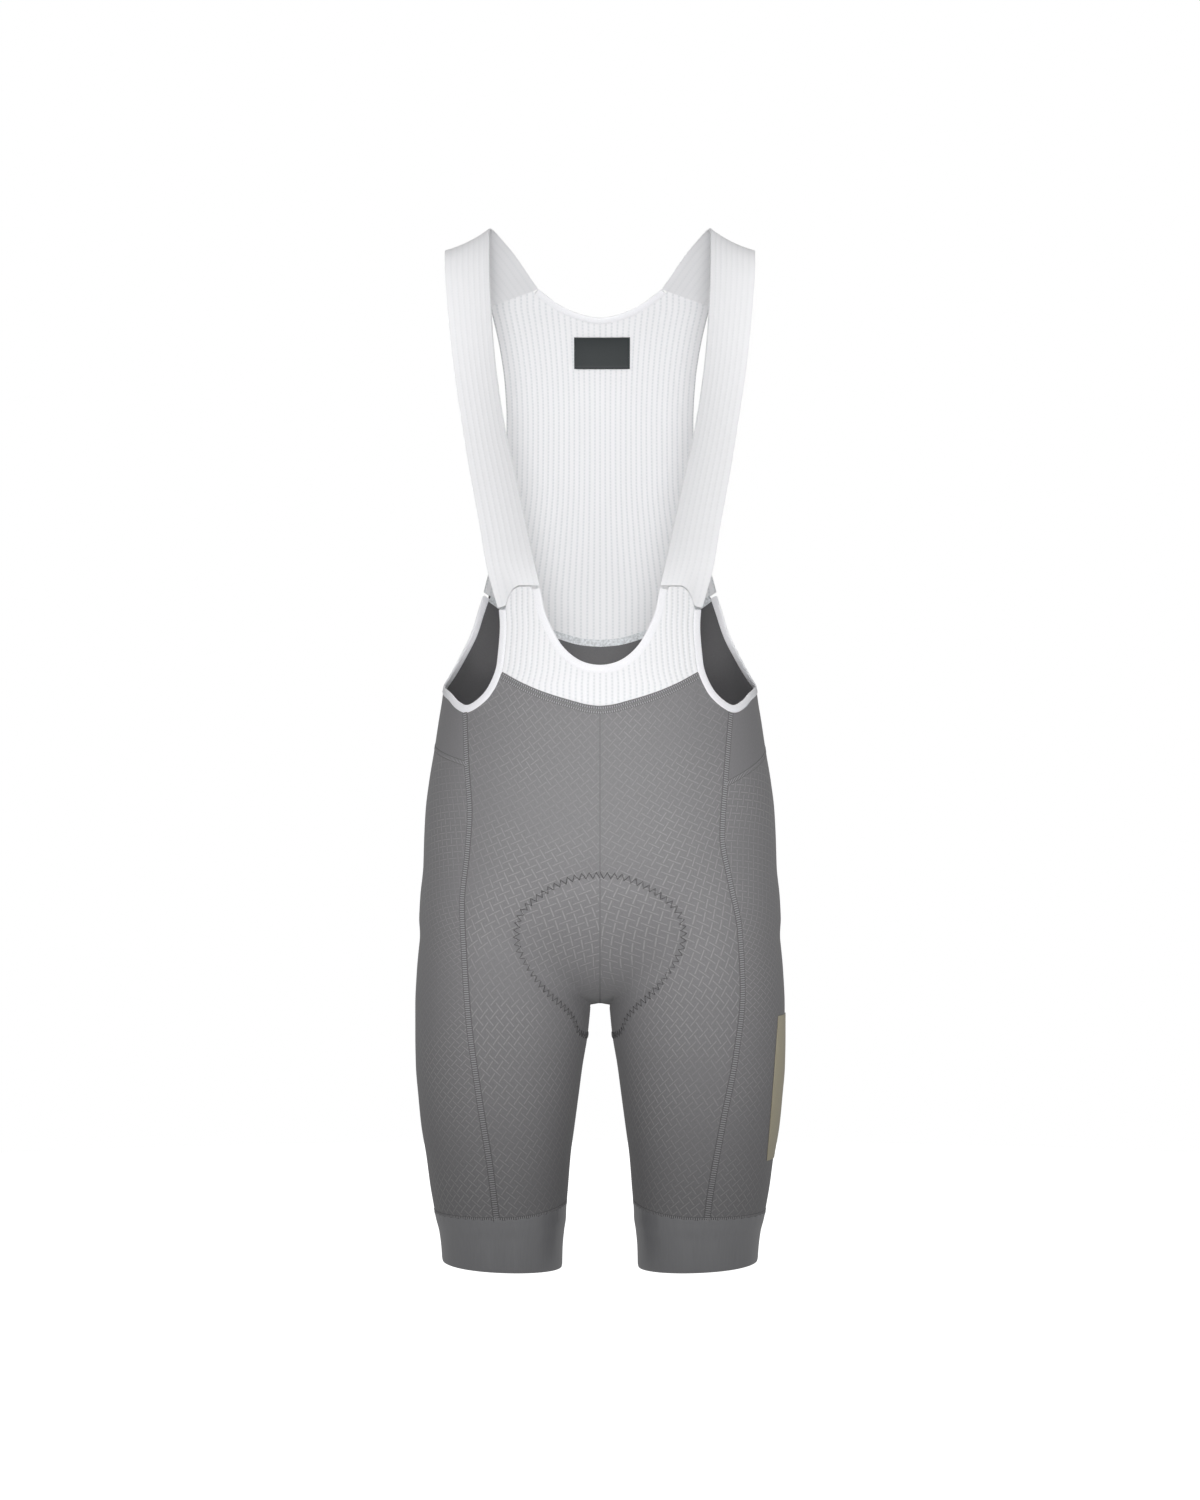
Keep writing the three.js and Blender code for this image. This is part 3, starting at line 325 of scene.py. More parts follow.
def normal_at(points):
    """Outward normals of the body form: its slope by central differences."""
    x, y, z = points[..., 0], points[..., 1], points[..., 2]
    here = section(z)
    below_z = np.where(z > CROTCH_Z, np.maximum(z - STEP, CROTCH_Z), z - STEP)
    dx = outside(here, x + STEP, y) - outside(here, x - STEP, y)
    dy = outside(here, x, y + STEP) - outside(here, x, y - STEP)
    dz = (outside(section(z + STEP), x, y) - outside(section(below_z), x, y)) / (z + STEP - below_z)
    return unit(stack(dx / (2 * STEP), dy / (2 * STEP), dz))


def leave(x, y, z, dx, dy, reach):
    """Where level straight lines from inside points leave the body form, found by halving."""
    cut = section(z)
    near = np.zeros(np.broadcast(x, dx).shape)
    far = near + reach
    for _ in range(HALVINGS):
        middle = (near + far) / 2
        inside = outside(cut, x + dx * middle, y + dy * middle) < 0
        near, far = np.where(inside, middle, near), np.where(inside, far, middle)
    return stack(x + dx * near, y + dy * near, z)


def surface_point(z, turn):
    """Points of a half's sections at turns about its core: -90 degrees is front, 0 the side and 90 back."""
    z, turn = np.broadcast_arrays(np.asarray(z, float), np.asarray(turn, float))
    core = along(CORE, 1, z)
    dx, dy = np.cos(turn), np.sin(turn)
    reach = np.where(dx < 0, np.minimum(REACH, (core + 2) / np.maximum(-dx, 1e-9)), REACH)
    return leave(core, 0.0 * z, z, dx, dy, reach)


def level_point(x, z, facing):
    """The front or back of the body form, straight ahead of or behind points in the middle plane."""
    x, z = np.broadcast_arrays(np.asarray(x, float), np.asarray(z, float))
    return leave(x, 0.0 * x, z, 0.0 * x, 0.0 * x + facing, REACH)


def turn_of(points):
    return np.arctan2(points[..., 1], points[..., 0] - along(CORE, 1, points[..., 2]))


def moved_turn(z, turn, length):
    """A turn moved along its section by a small length."""
    p = surface_point(z, turn)
    return turn + length / np.hypot(p[..., 0] - along(CORE, 1, z), p[..., 1])


def turn_at_width(z, x):
    """The turn at which the front of a section has width x from the centre line, found by halving."""
    low, high = np.full(np.shape(z), NEAR_INSEAM), np.zeros(np.shape(z))
    for _ in range(HALVINGS):
        middle = (low + high) / 2
        narrow = surface_point(z, middle)[..., 0] < x
        low, high = np.where(narrow, middle, low), np.where(narrow, high, middle)
    return low


def centre_edge_turn(z, facing):
    """Turn of a panel's edge on the centre line or, below the crotch, at the inseam."""
    z = np.asarray(z, float)
    p = level_point(0, z, facing)
    turn = np.where(z < CROTCH_Z, facing * math.pi, np.arctan2(p[..., 1], -along(CORE, 1, z)))
    return moved_turn(z, turn, -facing * HALF_GAP)


def torso_point(x, z, facing):
    """Point of the torso's front or back at a width and height."""
    half = along(TORSO, 1, z)
    depth = np.where(np.asarray(facing) < 0, along(TORSO, 2, z), along(TORSO, 3, z))
    rest = np.maximum(1 - (np.abs(x) / half) ** TORSO_ROUNDNESS, 0)
    return stack(x, facing * depth * rest ** (1 / TORSO_ROUNDNESS), z)


def seat(points):
    """Moves points along the normal until they lie on the body form, in three Newton steps."""
    for _ in range(3):
        distance = outside(section(points[..., 2]), points[..., 0], points[..., 1])
        normal = normal_at(points)
        probe = points + normal * STEP
        rate = (outside(section(probe[..., 2]), probe[..., 0], probe[..., 1]) - distance) / STEP
        points = points - normal * (distance / rate)[..., None]
    return points


def catmull_rom(points, at):
    """Centripetal Catmull-Rom curve through points, at parameters from 0 to 1: a cubic on each stretch,
    whose end slopes come from the square roots of the neighbouring stretches' lengths."""
    p = np.concatenate([[2 * points[0] - points[1]], points, [2 * points[-1] - points[-2]]])
    place = np.clip(np.asarray(at, float), 0, 1) * (len(points) - 1)
    i = np.minimum(place.astype(int), len(points) - 2)
    t = (place - i)[:, None]
    a, b, c, d = p[i], p[i + 1], p[i + 2], p[i + 3]
    ab, bc, cd = (np.sqrt(np.linalg.norm(v - u, axis=1))[:, None] for u, v in ((a, b), (b, c), (c, d)))
    start = ((b - a) / ab - (c - a) / (ab + bc) + (c - b) / bc) * bc
    end = ((c - b) / bc - (d - b) / (bc + cd) + (d - c) / cd) * bc
    return (b + start * t + (3 * (c - b) - 2 * start - end) * t ** 2
            + (2 * (b - c) + start + end) * t ** 3)


def even_line(points, count):
    """A line resampled to evenly spaced points, with its unit tangents."""
    length = np.concatenate([[0], np.cumsum(np.linalg.norm(np.diff(points, axis=0), axis=1))])
    at = np.linspace(0, length[-1], count)
    line = stack(*[np.interp(at, length, points[:, k]) for k in range(3)])
    return line, unit(np.gradient(line, axis=0))


def edge_line(edge, count):
    """A free edge as an evenly spaced curve on the body form, with its tangents and normals."""
    line, tangent = even_line(catmull_rom(edge, np.linspace(0, 1, 600)), count)
    line = seat(line)
    return line, tangent, normal_at(line)


def beside_edge(edge, distance, count):
    """Line at a distance from a free edge, measured square to it along the body form."""
    line, tangent, normal = edge_line(edge, count)
    return seat(line + unit(np.cross(tangent, normal)) * distance)


def both_halves(rows, facing):
    x, z = (np.array(column, float) for column in zip(*rows))
    return np.concatenate([torso_point(-x, z, facing), torso_point(x, z, facing)[:-1][::-1]])


ARMHOLE = np.concatenate([torso_point(np.array([x]), np.array([z]), facing) for x, z, facing in ARMHOLE_EDGE])
ARMHOLE_CLOTH = beside_edge(ARMHOLE, ARMHOLE_BINDING + EDGE_GAP, 240)
SCOOP = both_halves(SCOOP_EDGE, FRONT)
NECKLINE = both_halves(NECKLINE_EDGE, BACK)[::-1]


def right_half(line):
    line = line[line[:, 0] >= 0]
    return line[np.argsort(line[:, 0])]


SCOOP_CLOTH = right_half(beside_edge(SCOOP, NECK_BINDING + EDGE_GAP, 240))
NECKLINE_CLOTH = right_half(beside_edge(NECKLINE, BACK_HEM + EDGE_GAP, 240))


def bib_seam_height(x):
    return along(BIB_SEAM, 1, np.abs(x))


def yoke_seam_height(x):
    return along(YOKE_SEAM, 1, np.abs(x))


def armhole_height(turn):
    return np.interp(turn, turn_of(ARMHOLE_CLOTH), ARMHOLE_CLOTH[:, 2])


BIB_CORNER = ARMHOLE_CLOTH[np.argmax(ARMHOLE_CLOTH[:, 2] < bib_seam_height(ARMHOLE_CLOTH[:, 0]))]
YOKE_CORNER = ARMHOLE_CLOTH[-1]


def gripper_top(turn):
    return GRIPPER_TOP_Z + GRIPPER_INNER_RISE * np.maximum(-np.cos(turn), 0) ** 2


def hem_height(turn):
    return HEM_Z + HEM_TILT * np.cos(turn)


def pad_distance(points):
    """Roughly the distance inside the pad's stitched oval on the front, negative outside it."""
    reach = np.hypot(points[..., 0] / PAD_OVAL["half_width"],
                     (points[..., 2] - PAD_OVAL["z"]) / PAD_OVAL["half_height"])
    return (1 - reach) * PAD_OVAL["half_height"]


# Panels: a turn for each column and a height for each row

SEAM_HEIGHTS = np.linspace(-400, -900, 501)
SEAM_TURNS = {name: turn_at_width(SEAM_HEIGHTS, along(side["seam"], 1, SEAM_HEIGHTS))
              for name, side in SIDES.items()}


def seam_turn(side, z, pull):
    """Turn of the front side seam at heights z, moved along the section by a small pull."""
    turn = np.interp(-z, -SEAM_HEIGHTS, SEAM_TURNS[side])
    return moved_turn(z, turn, pull)


def front_turn(side, u, z, centre_z):
    """Even turns from the inseam to the side seam; the columns near the centre line swing round with it."""
    swing = centre_edge_turn(centre_z, FRONT) + math.pi
    return mix(-math.pi, seam_turn(side, z, -HALF_GAP), u) + swing * (1 - u) ** FRONT_GATHER


def back_turn(side, u, z, centre_z):
    """The same from the side seam round the outside to the centre back."""
    swing = math.pi - centre_edge_turn(centre_z, BACK)
    return mix(seam_turn(side, z, HALF_GAP), math.pi, u) - swing * u ** BACK_GATHER


def edge_height(turn_at, line, start):
    """Height at which each column meets an edge line, found by moving towards the line round by round."""
    z = start
    for _ in range(SETTLING_ROUNDS):
        turn = turn_at(z)
        z = mix(z, line(surface_point(z, turn), turn), SETTLING_PACE)
    return z


def front_top(points, turn):
    on_bib = turn < turn_of(BIB_CORNER)
    return np.where(on_bib, bib_seam_height(points[..., 0]) - HALF_GAP, armhole_height(turn))


def yoke_top(points, turn):
    on_mesh = turn > turn_of(YOKE_CORNER)
    return np.where(on_mesh, yoke_seam_height(points[..., 0]) - HALF_GAP, armhole_height(turn))


def refined(levels, step, fewest):
    """Places between rows of a table: each gap is cut into steps of about one length, or into a few."""
    levels = np.asarray(levels, float)
    counts = np.maximum(np.ceil(np.abs(np.diff(levels)) / step), fewest).astype(int)
    places = [k + np.arange(n) / n for k, n in enumerate(counts)]
    return np.concatenate(places + [[len(levels) - 1]])


def upper_rows(side, first_row, step):
    """Fractions of the way down to the crotch's height, at the centre line and at the side seam."""
    seam = SIDES[side]["seam"]
    top = armhole_height(turn_at_width(np.array([seam[0][0]]), seam[0][1]))[0]
    yoke = (SIDES[side]["yoke_z"] - top) / (CROTCH_Z - top)
    below = len(CENTRE_LEVELS) - 1 - YOKE_ROWS
    at_side = np.concatenate([np.linspace(0, yoke, YOKE_ROWS + 1), np.linspace(yoke, 1, below + 1)[1:]])
    at_centre = (np.array(CENTRE_LEVELS) - CENTRE_LEVELS[0]) / (CROTCH_Z - CENTRE_LEVELS[0])
    place = refined(at_side[first_row:] * -(CROTCH_Z - top), step, 6)
    rows = np.arange(len(at_side) - first_row)
    out = []
    for fractions in (at_centre[first_row:], at_side[first_row:]):
        fractions = (fractions - fractions[0]) / (1 - fractions[0])
        out.append(np.interp(place, rows, fractions)[:, None])
    return out


def leg_rows(turn_at, count):
    """Heights of the rows from below the crotch down to the gripper's seam, closer under the crotch."""
    bottom = edge_height(turn_at, lambda p, turn: gripper_top(turn) + HALF_GAP, np.full(1, GRIPPER_TOP_Z))
    fractions = np.linspace(0, 1, count + 1)[1:, None] ** 1.15
    return mix(CROTCH_Z, bottom, fractions)


def keep_half(points):
    """Keeps a half's points on their own side of the centre line."""
    return stack(np.maximum(points[..., 0], HALF_GAP), points[..., 1], points[..., 2])


def front_grid(side, columns, step):
    """Front panel from the centre line or inseam to the side seam."""
    u = np.linspace(0, 1, columns + 1)[None, :]
    top = edge_height(lambda z: front_turn(side, u, z, CENTRE_LEVELS[0]), front_top, np.full(u.shape, -425.0))
    at_centre, at_side = upper_rows(side, 0, step)
    upper = mix(top, CROTCH_Z, mix(at_centre, at_side, u))
    lower = leg_rows(lambda z: front_turn(side, u, z, CROTCH_Z), int((CROTCH_Z - GRIPPER_TOP_Z) / step))
    z = np.concatenate([upper, lower])
    grid = keep_half(surface_point(z, front_turn(side, u, z, z[:, :1])))
    grid[len(upper) - 1, 0] = (HALF_GAP, -HALF_GAP, CROTCH_Z)
    return grid


def yoke_lower_height(side, u):
    """The yoke's lower seam: up from the front side seam to the side, then level round the back."""
    rise = np.sin(math.pi / 2 * np.minimum(u / YOKE_SIDE_AT, 1))
    level = smooth((u - YOKE_SIDE_AT) / (1 - YOKE_SIDE_AT))
    return mix(SIDES[side]["yoke_z"], YOKE_SIDE_Z, rise) + (YOKE_BACK_Z - YOKE_SIDE_Z) * level


def back_grid(side, columns, step):
    """Back panel from the front side seam round the outside to the centre back or inseam."""
    u = np.linspace(0, 1, columns + 1)[None, :]
    top = yoke_lower_height(side, u) - HALF_GAP
    at_centre, at_side = upper_rows(side, YOKE_ROWS, step)
    upper = mix(top, CROTCH_Z, mix(at_side, at_centre, u))
    lower = leg_rows(lambda z: back_turn(side, u, z, CROTCH_Z), int((CROTCH_Z - GRIPPER_TOP_Z) / step))
    z = np.concatenate([upper, lower])
    grid = keep_half(surface_point(z, back_turn(side, u, z, z[:, -1:])))
    grid[len(upper) - 1, -1] = (HALF_GAP, HALF_GAP, CROTCH_Z)
    return grid


def yoke_grid(side, columns, rows):
    """One half of the back yoke, from the front side seam to the centre back."""
    u = np.linspace(0, 1, columns + 1)[None, :]
    first = YOKE_SEAM[0][1]
    top = edge_height(lambda z: back_turn(side, u, z, first), yoke_top, np.full(u.shape, -400.0))
    f = np.linspace(0, 1, rows + 1)[:, None]
    z = mix(top, yoke_lower_height(side, u) + HALF_GAP, f)
    grid = keep_half(surface_point(z, back_turn(side, u, z, mix(first, YOKE_BACK_Z, f))))
    grid[:, -1, 0] = 0
    return grid


# Meshes

def quads_of(rows, columns, start, loop):
    """Quads between the neighbouring rows and columns of a grid; loop joins the last column to the first."""
    i = start + np.arange(rows - 1)[:, None] * columns
    j = np.arange(columns if loop else columns - 1)[None, :]
    k = (j + 1) % columns
    return np.stack([i + j, i + columns + j, i + columns + k, i + k], axis=-1).reshape(-1, 4)


def strip(edge, count, loop=False):
    """Quads from a run of outer vertices to the inner vertices under them."""
    edge = np.append(edge, edge[0]) if loop else edge
    return stack(edge[:-1], edge[1:], edge[1:] + count, edge[:-1] + count)


def wall(outer, inner, loop=False):
    """A closed wall: an outer grid, an inner grid turned over, and a strip along each free edge."""
    rows, columns = outer.shape[:2]
    count = rows * columns
    index = np.arange(count).reshape(rows, columns)
    quads = [quads_of(rows, columns, 0, loop), quads_of(rows, columns, count, loop)[:, ::-1],
             strip(index[0], count, loop), strip(index[-1][::-1], count, loop)]
    if not loop:
        quads += [strip(index[::-1, 0], count), strip(index[:, -1], count)]
    return np.concatenate([outer.reshape(-1, 3), inner.reshape(-1, 3)]), np.concatenate(quads)


def closed_tube(ring, start, end):
    """Quads round a grid of rings, with its two ends closed by fans about their middles."""
    rows, sides = ring.shape[:2]
    count = rows * sides
    points = np.concatenate([ring.reshape(-1, 3), [start], [end]])
    first = np.arange(sides)
    last = first + count - sides
    caps = [stack(first, np.roll(first, -1), count), stack(np.roll(last, -1), last, count + 1)]
    return points, quads_of(rows, sides, 0, True), np.concatenate(caps)


def tube(line, sides, up, across, radius):
    """A closed thread: at each point of a line an oval of points, up and across it, with fanned ends."""
    angle = np.arange(sides) / sides * 2 * math.pi
    ring = (line[:, None] + up[:, None] * (np.cos(angle) * radius)[None, :, None]
            + across[:, None] * (np.sin(angle) * radius)[None, :, None])
    return closed_tube(ring, line[0], line[-1])


def volume(points, faces):
    """Signed volume inside faces, from the tetrahedra between each face's triangles and the origin."""
    a = points[faces[:, 0]]
    total = 0.0
    for k in range(1, faces.shape[1] - 1):
        total += (a * np.cross(points[faces[:, k]], points[faces[:, k + 1]])).sum()
    return total / 6


def add_piece(name, points, face_sets, material, charts=None, node=None, crease=60):
    """Makes a mesh object in metres, with its faces outwards, smooth but for sharp rims, riding on the
    garment's one body. charts are UV maps by name, with a pair of numbers for each vertex."""
    if sum(volume(points, faces) for faces in face_sets) < 0:
        face_sets = [faces[:, ::-1] for faces in face_sets]
    mesh = bpy.data.meshes.new(name)
    mesh.from_pydata((points * MM).tolist(), [], [face for faces in face_sets for face in faces.tolist()])
    corners = np.concatenate([faces.ravel() for faces in face_sets])
    for chart, values in (charts or {}).items():
        layer = mesh.uv_layers.new(name=chart)
        layer.data.foreach_set("uv", values[corners].astype(np.float32).ravel())
    mesh.shade_smooth()
    mesh.set_sharp_from_angle(angle=math.radians(crease))
    mesh.materials.append(material)
    mesh.update()
    piece = bpy.data.objects.new(name, mesh)
    bpy.context.scene.collection.objects.link(piece)
    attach(piece, "root")
    if node:
        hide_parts(node)
    return piece


def doubled(grid):
    """Chart values for both faces of a wall."""
    flat = grid.reshape(-1, 2)
    return np.concatenate([flat, flat])


def inner_face_chart(grid):
    """Chart of a wall that is 0 on its outer face and 1 on its inner face, where the inside's painted shade
    is put.
    """
    count = grid.shape[0] * grid.shape[1]
    return stack(np.repeat([0.0, 1.0], count), 0.0)


def mirrored(points, sign):
    return points * np.array([sign, 1, 1])


def merged(parts):
    """Several meshes of the same kinds of faces as one."""
    points, offset, sets = [], 0, [[] for _ in parts[0][1:]]
    for part in parts:
        points.append(part[0])
        for k, faces in enumerate(part[1:]):
            sets[k].append(faces + offset)
        offset += len(part[0])
    return np.concatenate(points), [np.concatenate(faces) for faces in sets]


# Charts of the lattice: their cell, and the width over which a front panel's lines turn
CHART_CELL = 3.0
FRONT_WIDTH = 150


def chart_of(grid, from_seam_last):
    """Flat chart of a panel in millimetres: level distance from the side seam, and height."""
    level = np.hypot(np.diff(grid[..., 0], axis=1), np.diff(grid[..., 1], axis=1))
    run = np.concatenate([np.zeros((len(grid), 1)), np.cumsum(level, axis=1)], axis=1)
    distance = run[:, -1:] - run if from_seam_last else run
    return distance, grid[..., 2]


def cosines(count):
    """Orthonormal cosine waves over a row of cells, one in each row."""
    waves = np.cos(math.pi / count * np.arange(count)[:, None] * (np.arange(count)[None, :] + 0.5))
    return waves * np.where(np.arange(count) == 0, 1 / count, 2 / count)[:, None] ** 0.5


def potential(slope_x, slope_z, step):
    """The field whose slopes are nearest to given ones: least squares on a grid, solved with cosine waves."""
    rows, columns = slope_x.shape
    gx, gz = (slope_x[:, 1:] + slope_x[:, :-1]) / 2, (slope_z[1:] + slope_z[:-1]) / 2
    right = np.zeros((rows, columns))
    right[:, 1:] += gx
    right[:, :-1] -= gx
    right[1:] += gz
    right[:-1] -= gz
    across, down = cosines(columns), cosines(rows)
    stiff = (2 - 2 * np.cos(math.pi * np.arange(rows) / rows))[:, None] + (
        2 - 2 * np.cos(math.pi * np.arange(columns) / columns))[None, :]
    stiff[0, 0] = 1
    waves = down @ right @ across.T / stiff
    waves[0, 0] = 0
    return down.T @ waves @ across * step


def grid_value(field, row, column):
    """Values of a gridded field between its points, linear each way."""
    i = np.clip(row.astype(int), 0, field.shape[0] - 2)
    j = np.clip(column.astype(int), 0, field.shape[1] - 2)
    a, b = row - i, column - j
    return (field[i, j] * (1 - a) * (1 - b) + field[i + 1, j] * a * (1 - b)
            + field[i, j + 1] * (1 - a) * b + field[i + 1, j + 1] * a * b)


def lattice_chart(grid, table, spacing, from_seam_last):
    """Two numbers for each point whose whole values are the lattice's two sets of lines. The lines turn
    by a table's angles, and each set is fitted to them by least squares over the panel's flat chart."""
    distance, z = chart_of(grid, from_seam_last)
    cell = CHART_CELL
    reach, top, bottom = distance.max(), z.max(), z.min()
    x = np.arange(0, reach + 2 * cell, cell)[None, :]
    heights = np.arange(top, bottom - 2 * cell, -cell)[:, None]
    inward = np.clip(x / (min(reach, FRONT_WIDTH) if from_seam_last else reach), 0, 1)
    centre, middle, side = (along(table, k, heights) for k in (1, 2, 3))
    degrees = np.where(inward < 0.5, mix(side, middle, smooth(inward * 2)),
                       mix(middle, centre, smooth(inward * 2 - 1)))
    turn = np.radians(degrees)
    sense = -1 if from_seam_last else 1
    fields = []
    for along_x, along_z in ((np.cos(turn), -np.sin(turn)), (np.sin(turn), np.cos(turn))):
        fields.append(potential(sense * along_x, -along_z, cell) / spacing)
    row, column = (top - z) / cell, distance / cell
    return stack(*[grid_value(field, row, column) for field in fields])


# Materials. Scales of noise are in patterns to a metre.
LATTICE_SHOWN = 0.85
# Painted shade: the factor that darkens the cloth's inner faces
INSIDE_PAINTED_SHADE = 0.55
KNIT_ROUGHNESS = 0.62
GRAIN_SCALE = 900.0
SEAM_SHADE = 0.66
ZIGZAG_SHADE = 0.5
CENTRE_SEAM_SHADE = 0.9
STRAP_RIB_SHADE = 0.2
HOLES_PER_MM = 0.33


def add(tree, kind, inputs=(), **settings):
    """Adds a node with its settings. Each input is a node, a socket or a value, by its place or name."""
    made = tree.nodes.new(kind)
    for name, value in settings.items():
        setattr(made, name, value)
    pairs = inputs.items() if isinstance(inputs, dict) else enumerate(inputs)
    for name, value in pairs:
        if isinstance(value, bpy.types.Node):
            value = value.outputs[0]
        if isinstance(value, bpy.types.NodeSocket):
            tree.links.new(value, made.inputs[name])
        elif value is not None:
            made.inputs[name].default_value = value
    return made


def new_material(name):
    """An empty material with its output and its tree."""
    material = bpy.data.materials.new(name)
    material.use_nodes = True
    tree = material.node_tree
    tree.nodes.clear()
    return material, tree


def with_painted_inside_shade(tree, colour):
    """A cloth's colour, darker on the inside of the garment: painted shade, the inner face multiplied down.
    """
    chart = add(tree, "ShaderNodeUVMap", uv_map="inner_face")
    inside = add(tree, "ShaderNodeSeparateXYZ", [chart])
    dark = add(tree, "ShaderNodeMapRange", {0: inside.outputs[0], 3: 1.0, 4: INSIDE_PAINTED_SHADE})
    return add(tree, "ShaderNodeVectorMath", [colour, dark], operation="MULTIPLY")


def finish_material(tree, colour, rough, height=None, bump=0.3, distance=0.0004, **fixed):
    """A principled surface: colour and bump from nodes, and values that are the same all over."""
    inputs = {"Base Color": colour, "Roughness": rough}
    inputs.update({name.replace("_", " "): value for name, value in fixed.items()})
    if height is not None:
        inputs["Normal"] = add(tree, "ShaderNodeBump",
                               {"Height": height, "Strength": bump, "Distance": distance})
    surface = add(tree, "ShaderNodeBsdfPrincipled", inputs)
    add(tree, "ShaderNodeOutputMaterial", {"Surface": surface})


def opaque(colour):
    return (*colour, 1)


def shaded(colour, shade):
    return tuple(shade * channel for channel in colour)


def lattice_lines(tree, across, along_line, phase):
    """Dashes on one set of lines: near a whole number across, and away from every second crossing."""
    line = add(tree, "ShaderNodeMath", [across], operation="ROUND")
    off = add(tree, "ShaderNodeMath", [across, line], operation="SUBTRACT")
    off = add(tree, "ShaderNodeMath", [off], operation="ABSOLUTE")
    near_line = add(tree, "ShaderNodeMapRange", {0: off, 1: 0.035, 2: 0.1, 3: 1.0, 4: 0.0},
              interpolation_type="SMOOTHSTEP")
    place = along_line
    for operation, value in (("ADD", line), ("ADD", phase), ("MULTIPLY", 0.5), ("FRACT", None),
                             ("SUBTRACT", 0.5), ("ABSOLUTE", None)):
        place = add(tree, "ShaderNodeMath", [place, value], operation=operation)
    dash = add(tree, "ShaderNodeMapRange", {0: place, 1: 0.1, 2: 0.16}, interpolation_type="SMOOTHSTEP")
    return add(tree, "ShaderNodeMath", [near_line, dash], operation="MULTIPLY")


def knit_cloth(colours):
    """Warp-knitted polyamide and elastane, pressed smooth: matt, with a lattice of thin raised dashes that
    catch more light, and a fine grain of loops, drawn at 1 mm where the real one is 0.4 mm."""
    material, tree = new_material("Knitted polyamide with a lattice")
    chart = add(tree, "ShaderNodeUVMap", uv_map="lattice")
    split = add(tree, "ShaderNodeSeparateXYZ", [chart])
    a, b = split.outputs[0], split.outputs[1]
    one = lattice_lines(tree, a, b, 0.0)
    other = lattice_lines(tree, b, a, 1.0)
    lines = add(tree, "ShaderNodeMath", [one, other], operation="MAXIMUM")
    place = add(tree, "ShaderNodeTexCoord").outputs["Object"]
    patchy = add(tree, "ShaderNodeTexNoise", {"Vector": place, "Scale": 14.0, "Detail": 2.0})
    patchy = add(tree, "ShaderNodeMapRange",
                 {0: patchy, 1: 0.34, 2: 0.6, 3: 0.35 * LATTICE_SHOWN, 4: LATTICE_SHOWN})
    shown = add(tree, "ShaderNodeMath", [lines, patchy], operation="MULTIPLY")
    grain = add(tree, "ShaderNodeTexNoise", {"Vector": place, "Scale": GRAIN_SCALE, "Detail": 2.0})
    shade = add(tree, "ShaderNodeMapRange", {0: grain, 1: 0.3, 2: 0.7, 3: 0.93, 4: 1.06})
    base = add(tree, "ShaderNodeMix", {0: shown, 6: opaque(colours.cloth), 7: opaque(colours.lattice)},
               data_type="RGBA")
    tinted = add(tree, "ShaderNodeVectorMath", [base.outputs[2], shade], operation="MULTIPLY")
    height = add(tree, "ShaderNodeMath", [grain, 0.35], operation="MULTIPLY")
    height = add(tree, "ShaderNodeMath", [height, shown], operation="ADD")
    # The inner face is darkened: painted shade
    finish_material(tree, with_painted_inside_shade(tree, tinted), KNIT_ROUGHNESS, height, 0.35, 0.0003, Sheen_Weight=0.1,
                    Sheen_Roughness=0.5)
    return material


def plain_cloth(colours):
    """The same knit without the lattice, for the yoke and the inside: smooth, with a fine grain, and painted
    shade on its inner face.
    """
    material, tree = new_material("Knitted polyamide, plain")
    place = add(tree, "ShaderNodeTexCoord").outputs["Object"]
    grain = add(tree, "ShaderNodeTexNoise", {"Vector": place, "Scale": GRAIN_SCALE, "Detail": 2.0})
    shade = add(tree, "ShaderNodeMapRange", {0: grain, 1: 0.3, 2: 0.7, 3: 0.93, 4: 1.06})
    tinted = add(tree, "ShaderNodeVectorMath", [opaque(colours.cloth)[:3], shade], operation="MULTIPLY")
    # The inner face is darkened: painted shade
    finish_material(tree, with_painted_inside_shade(tree, tinted), KNIT_ROUGHNESS, grain, 0.2, 0.0002, Sheen_Weight=0.1,
                    Sheen_Roughness=0.5)
    return material


def satin_elastic(colours):
    """Woven elastic with a satin face: smooth, a soft broad gloss, and fine upright lines."""
    material, tree = new_material("Woven satin elastic")
    place = add(tree, "ShaderNodeTexCoord").outputs["Object"]
    stretched = add(tree, "ShaderNodeMapping", {"Vector": place, "Scale": (1.0, 1.0, 0.06)})
    lines = add(tree, "ShaderNodeTexNoise", {"Vector": stretched, "Scale": 700.0, "Detail": 2.0})
    shade = add(tree, "ShaderNodeMapRange", {0: lines, 1: 0.3, 2: 0.7, 3: 0.96, 4: 1.04})
    tinted = add(tree, "ShaderNodeVectorMath", [opaque(colours.gripper)[:3], shade], operation="MULTIPLY")
    finish_material(tree, tinted, 0.3, lines, 0.12, 0.0002, IOR=1.9)
    return material


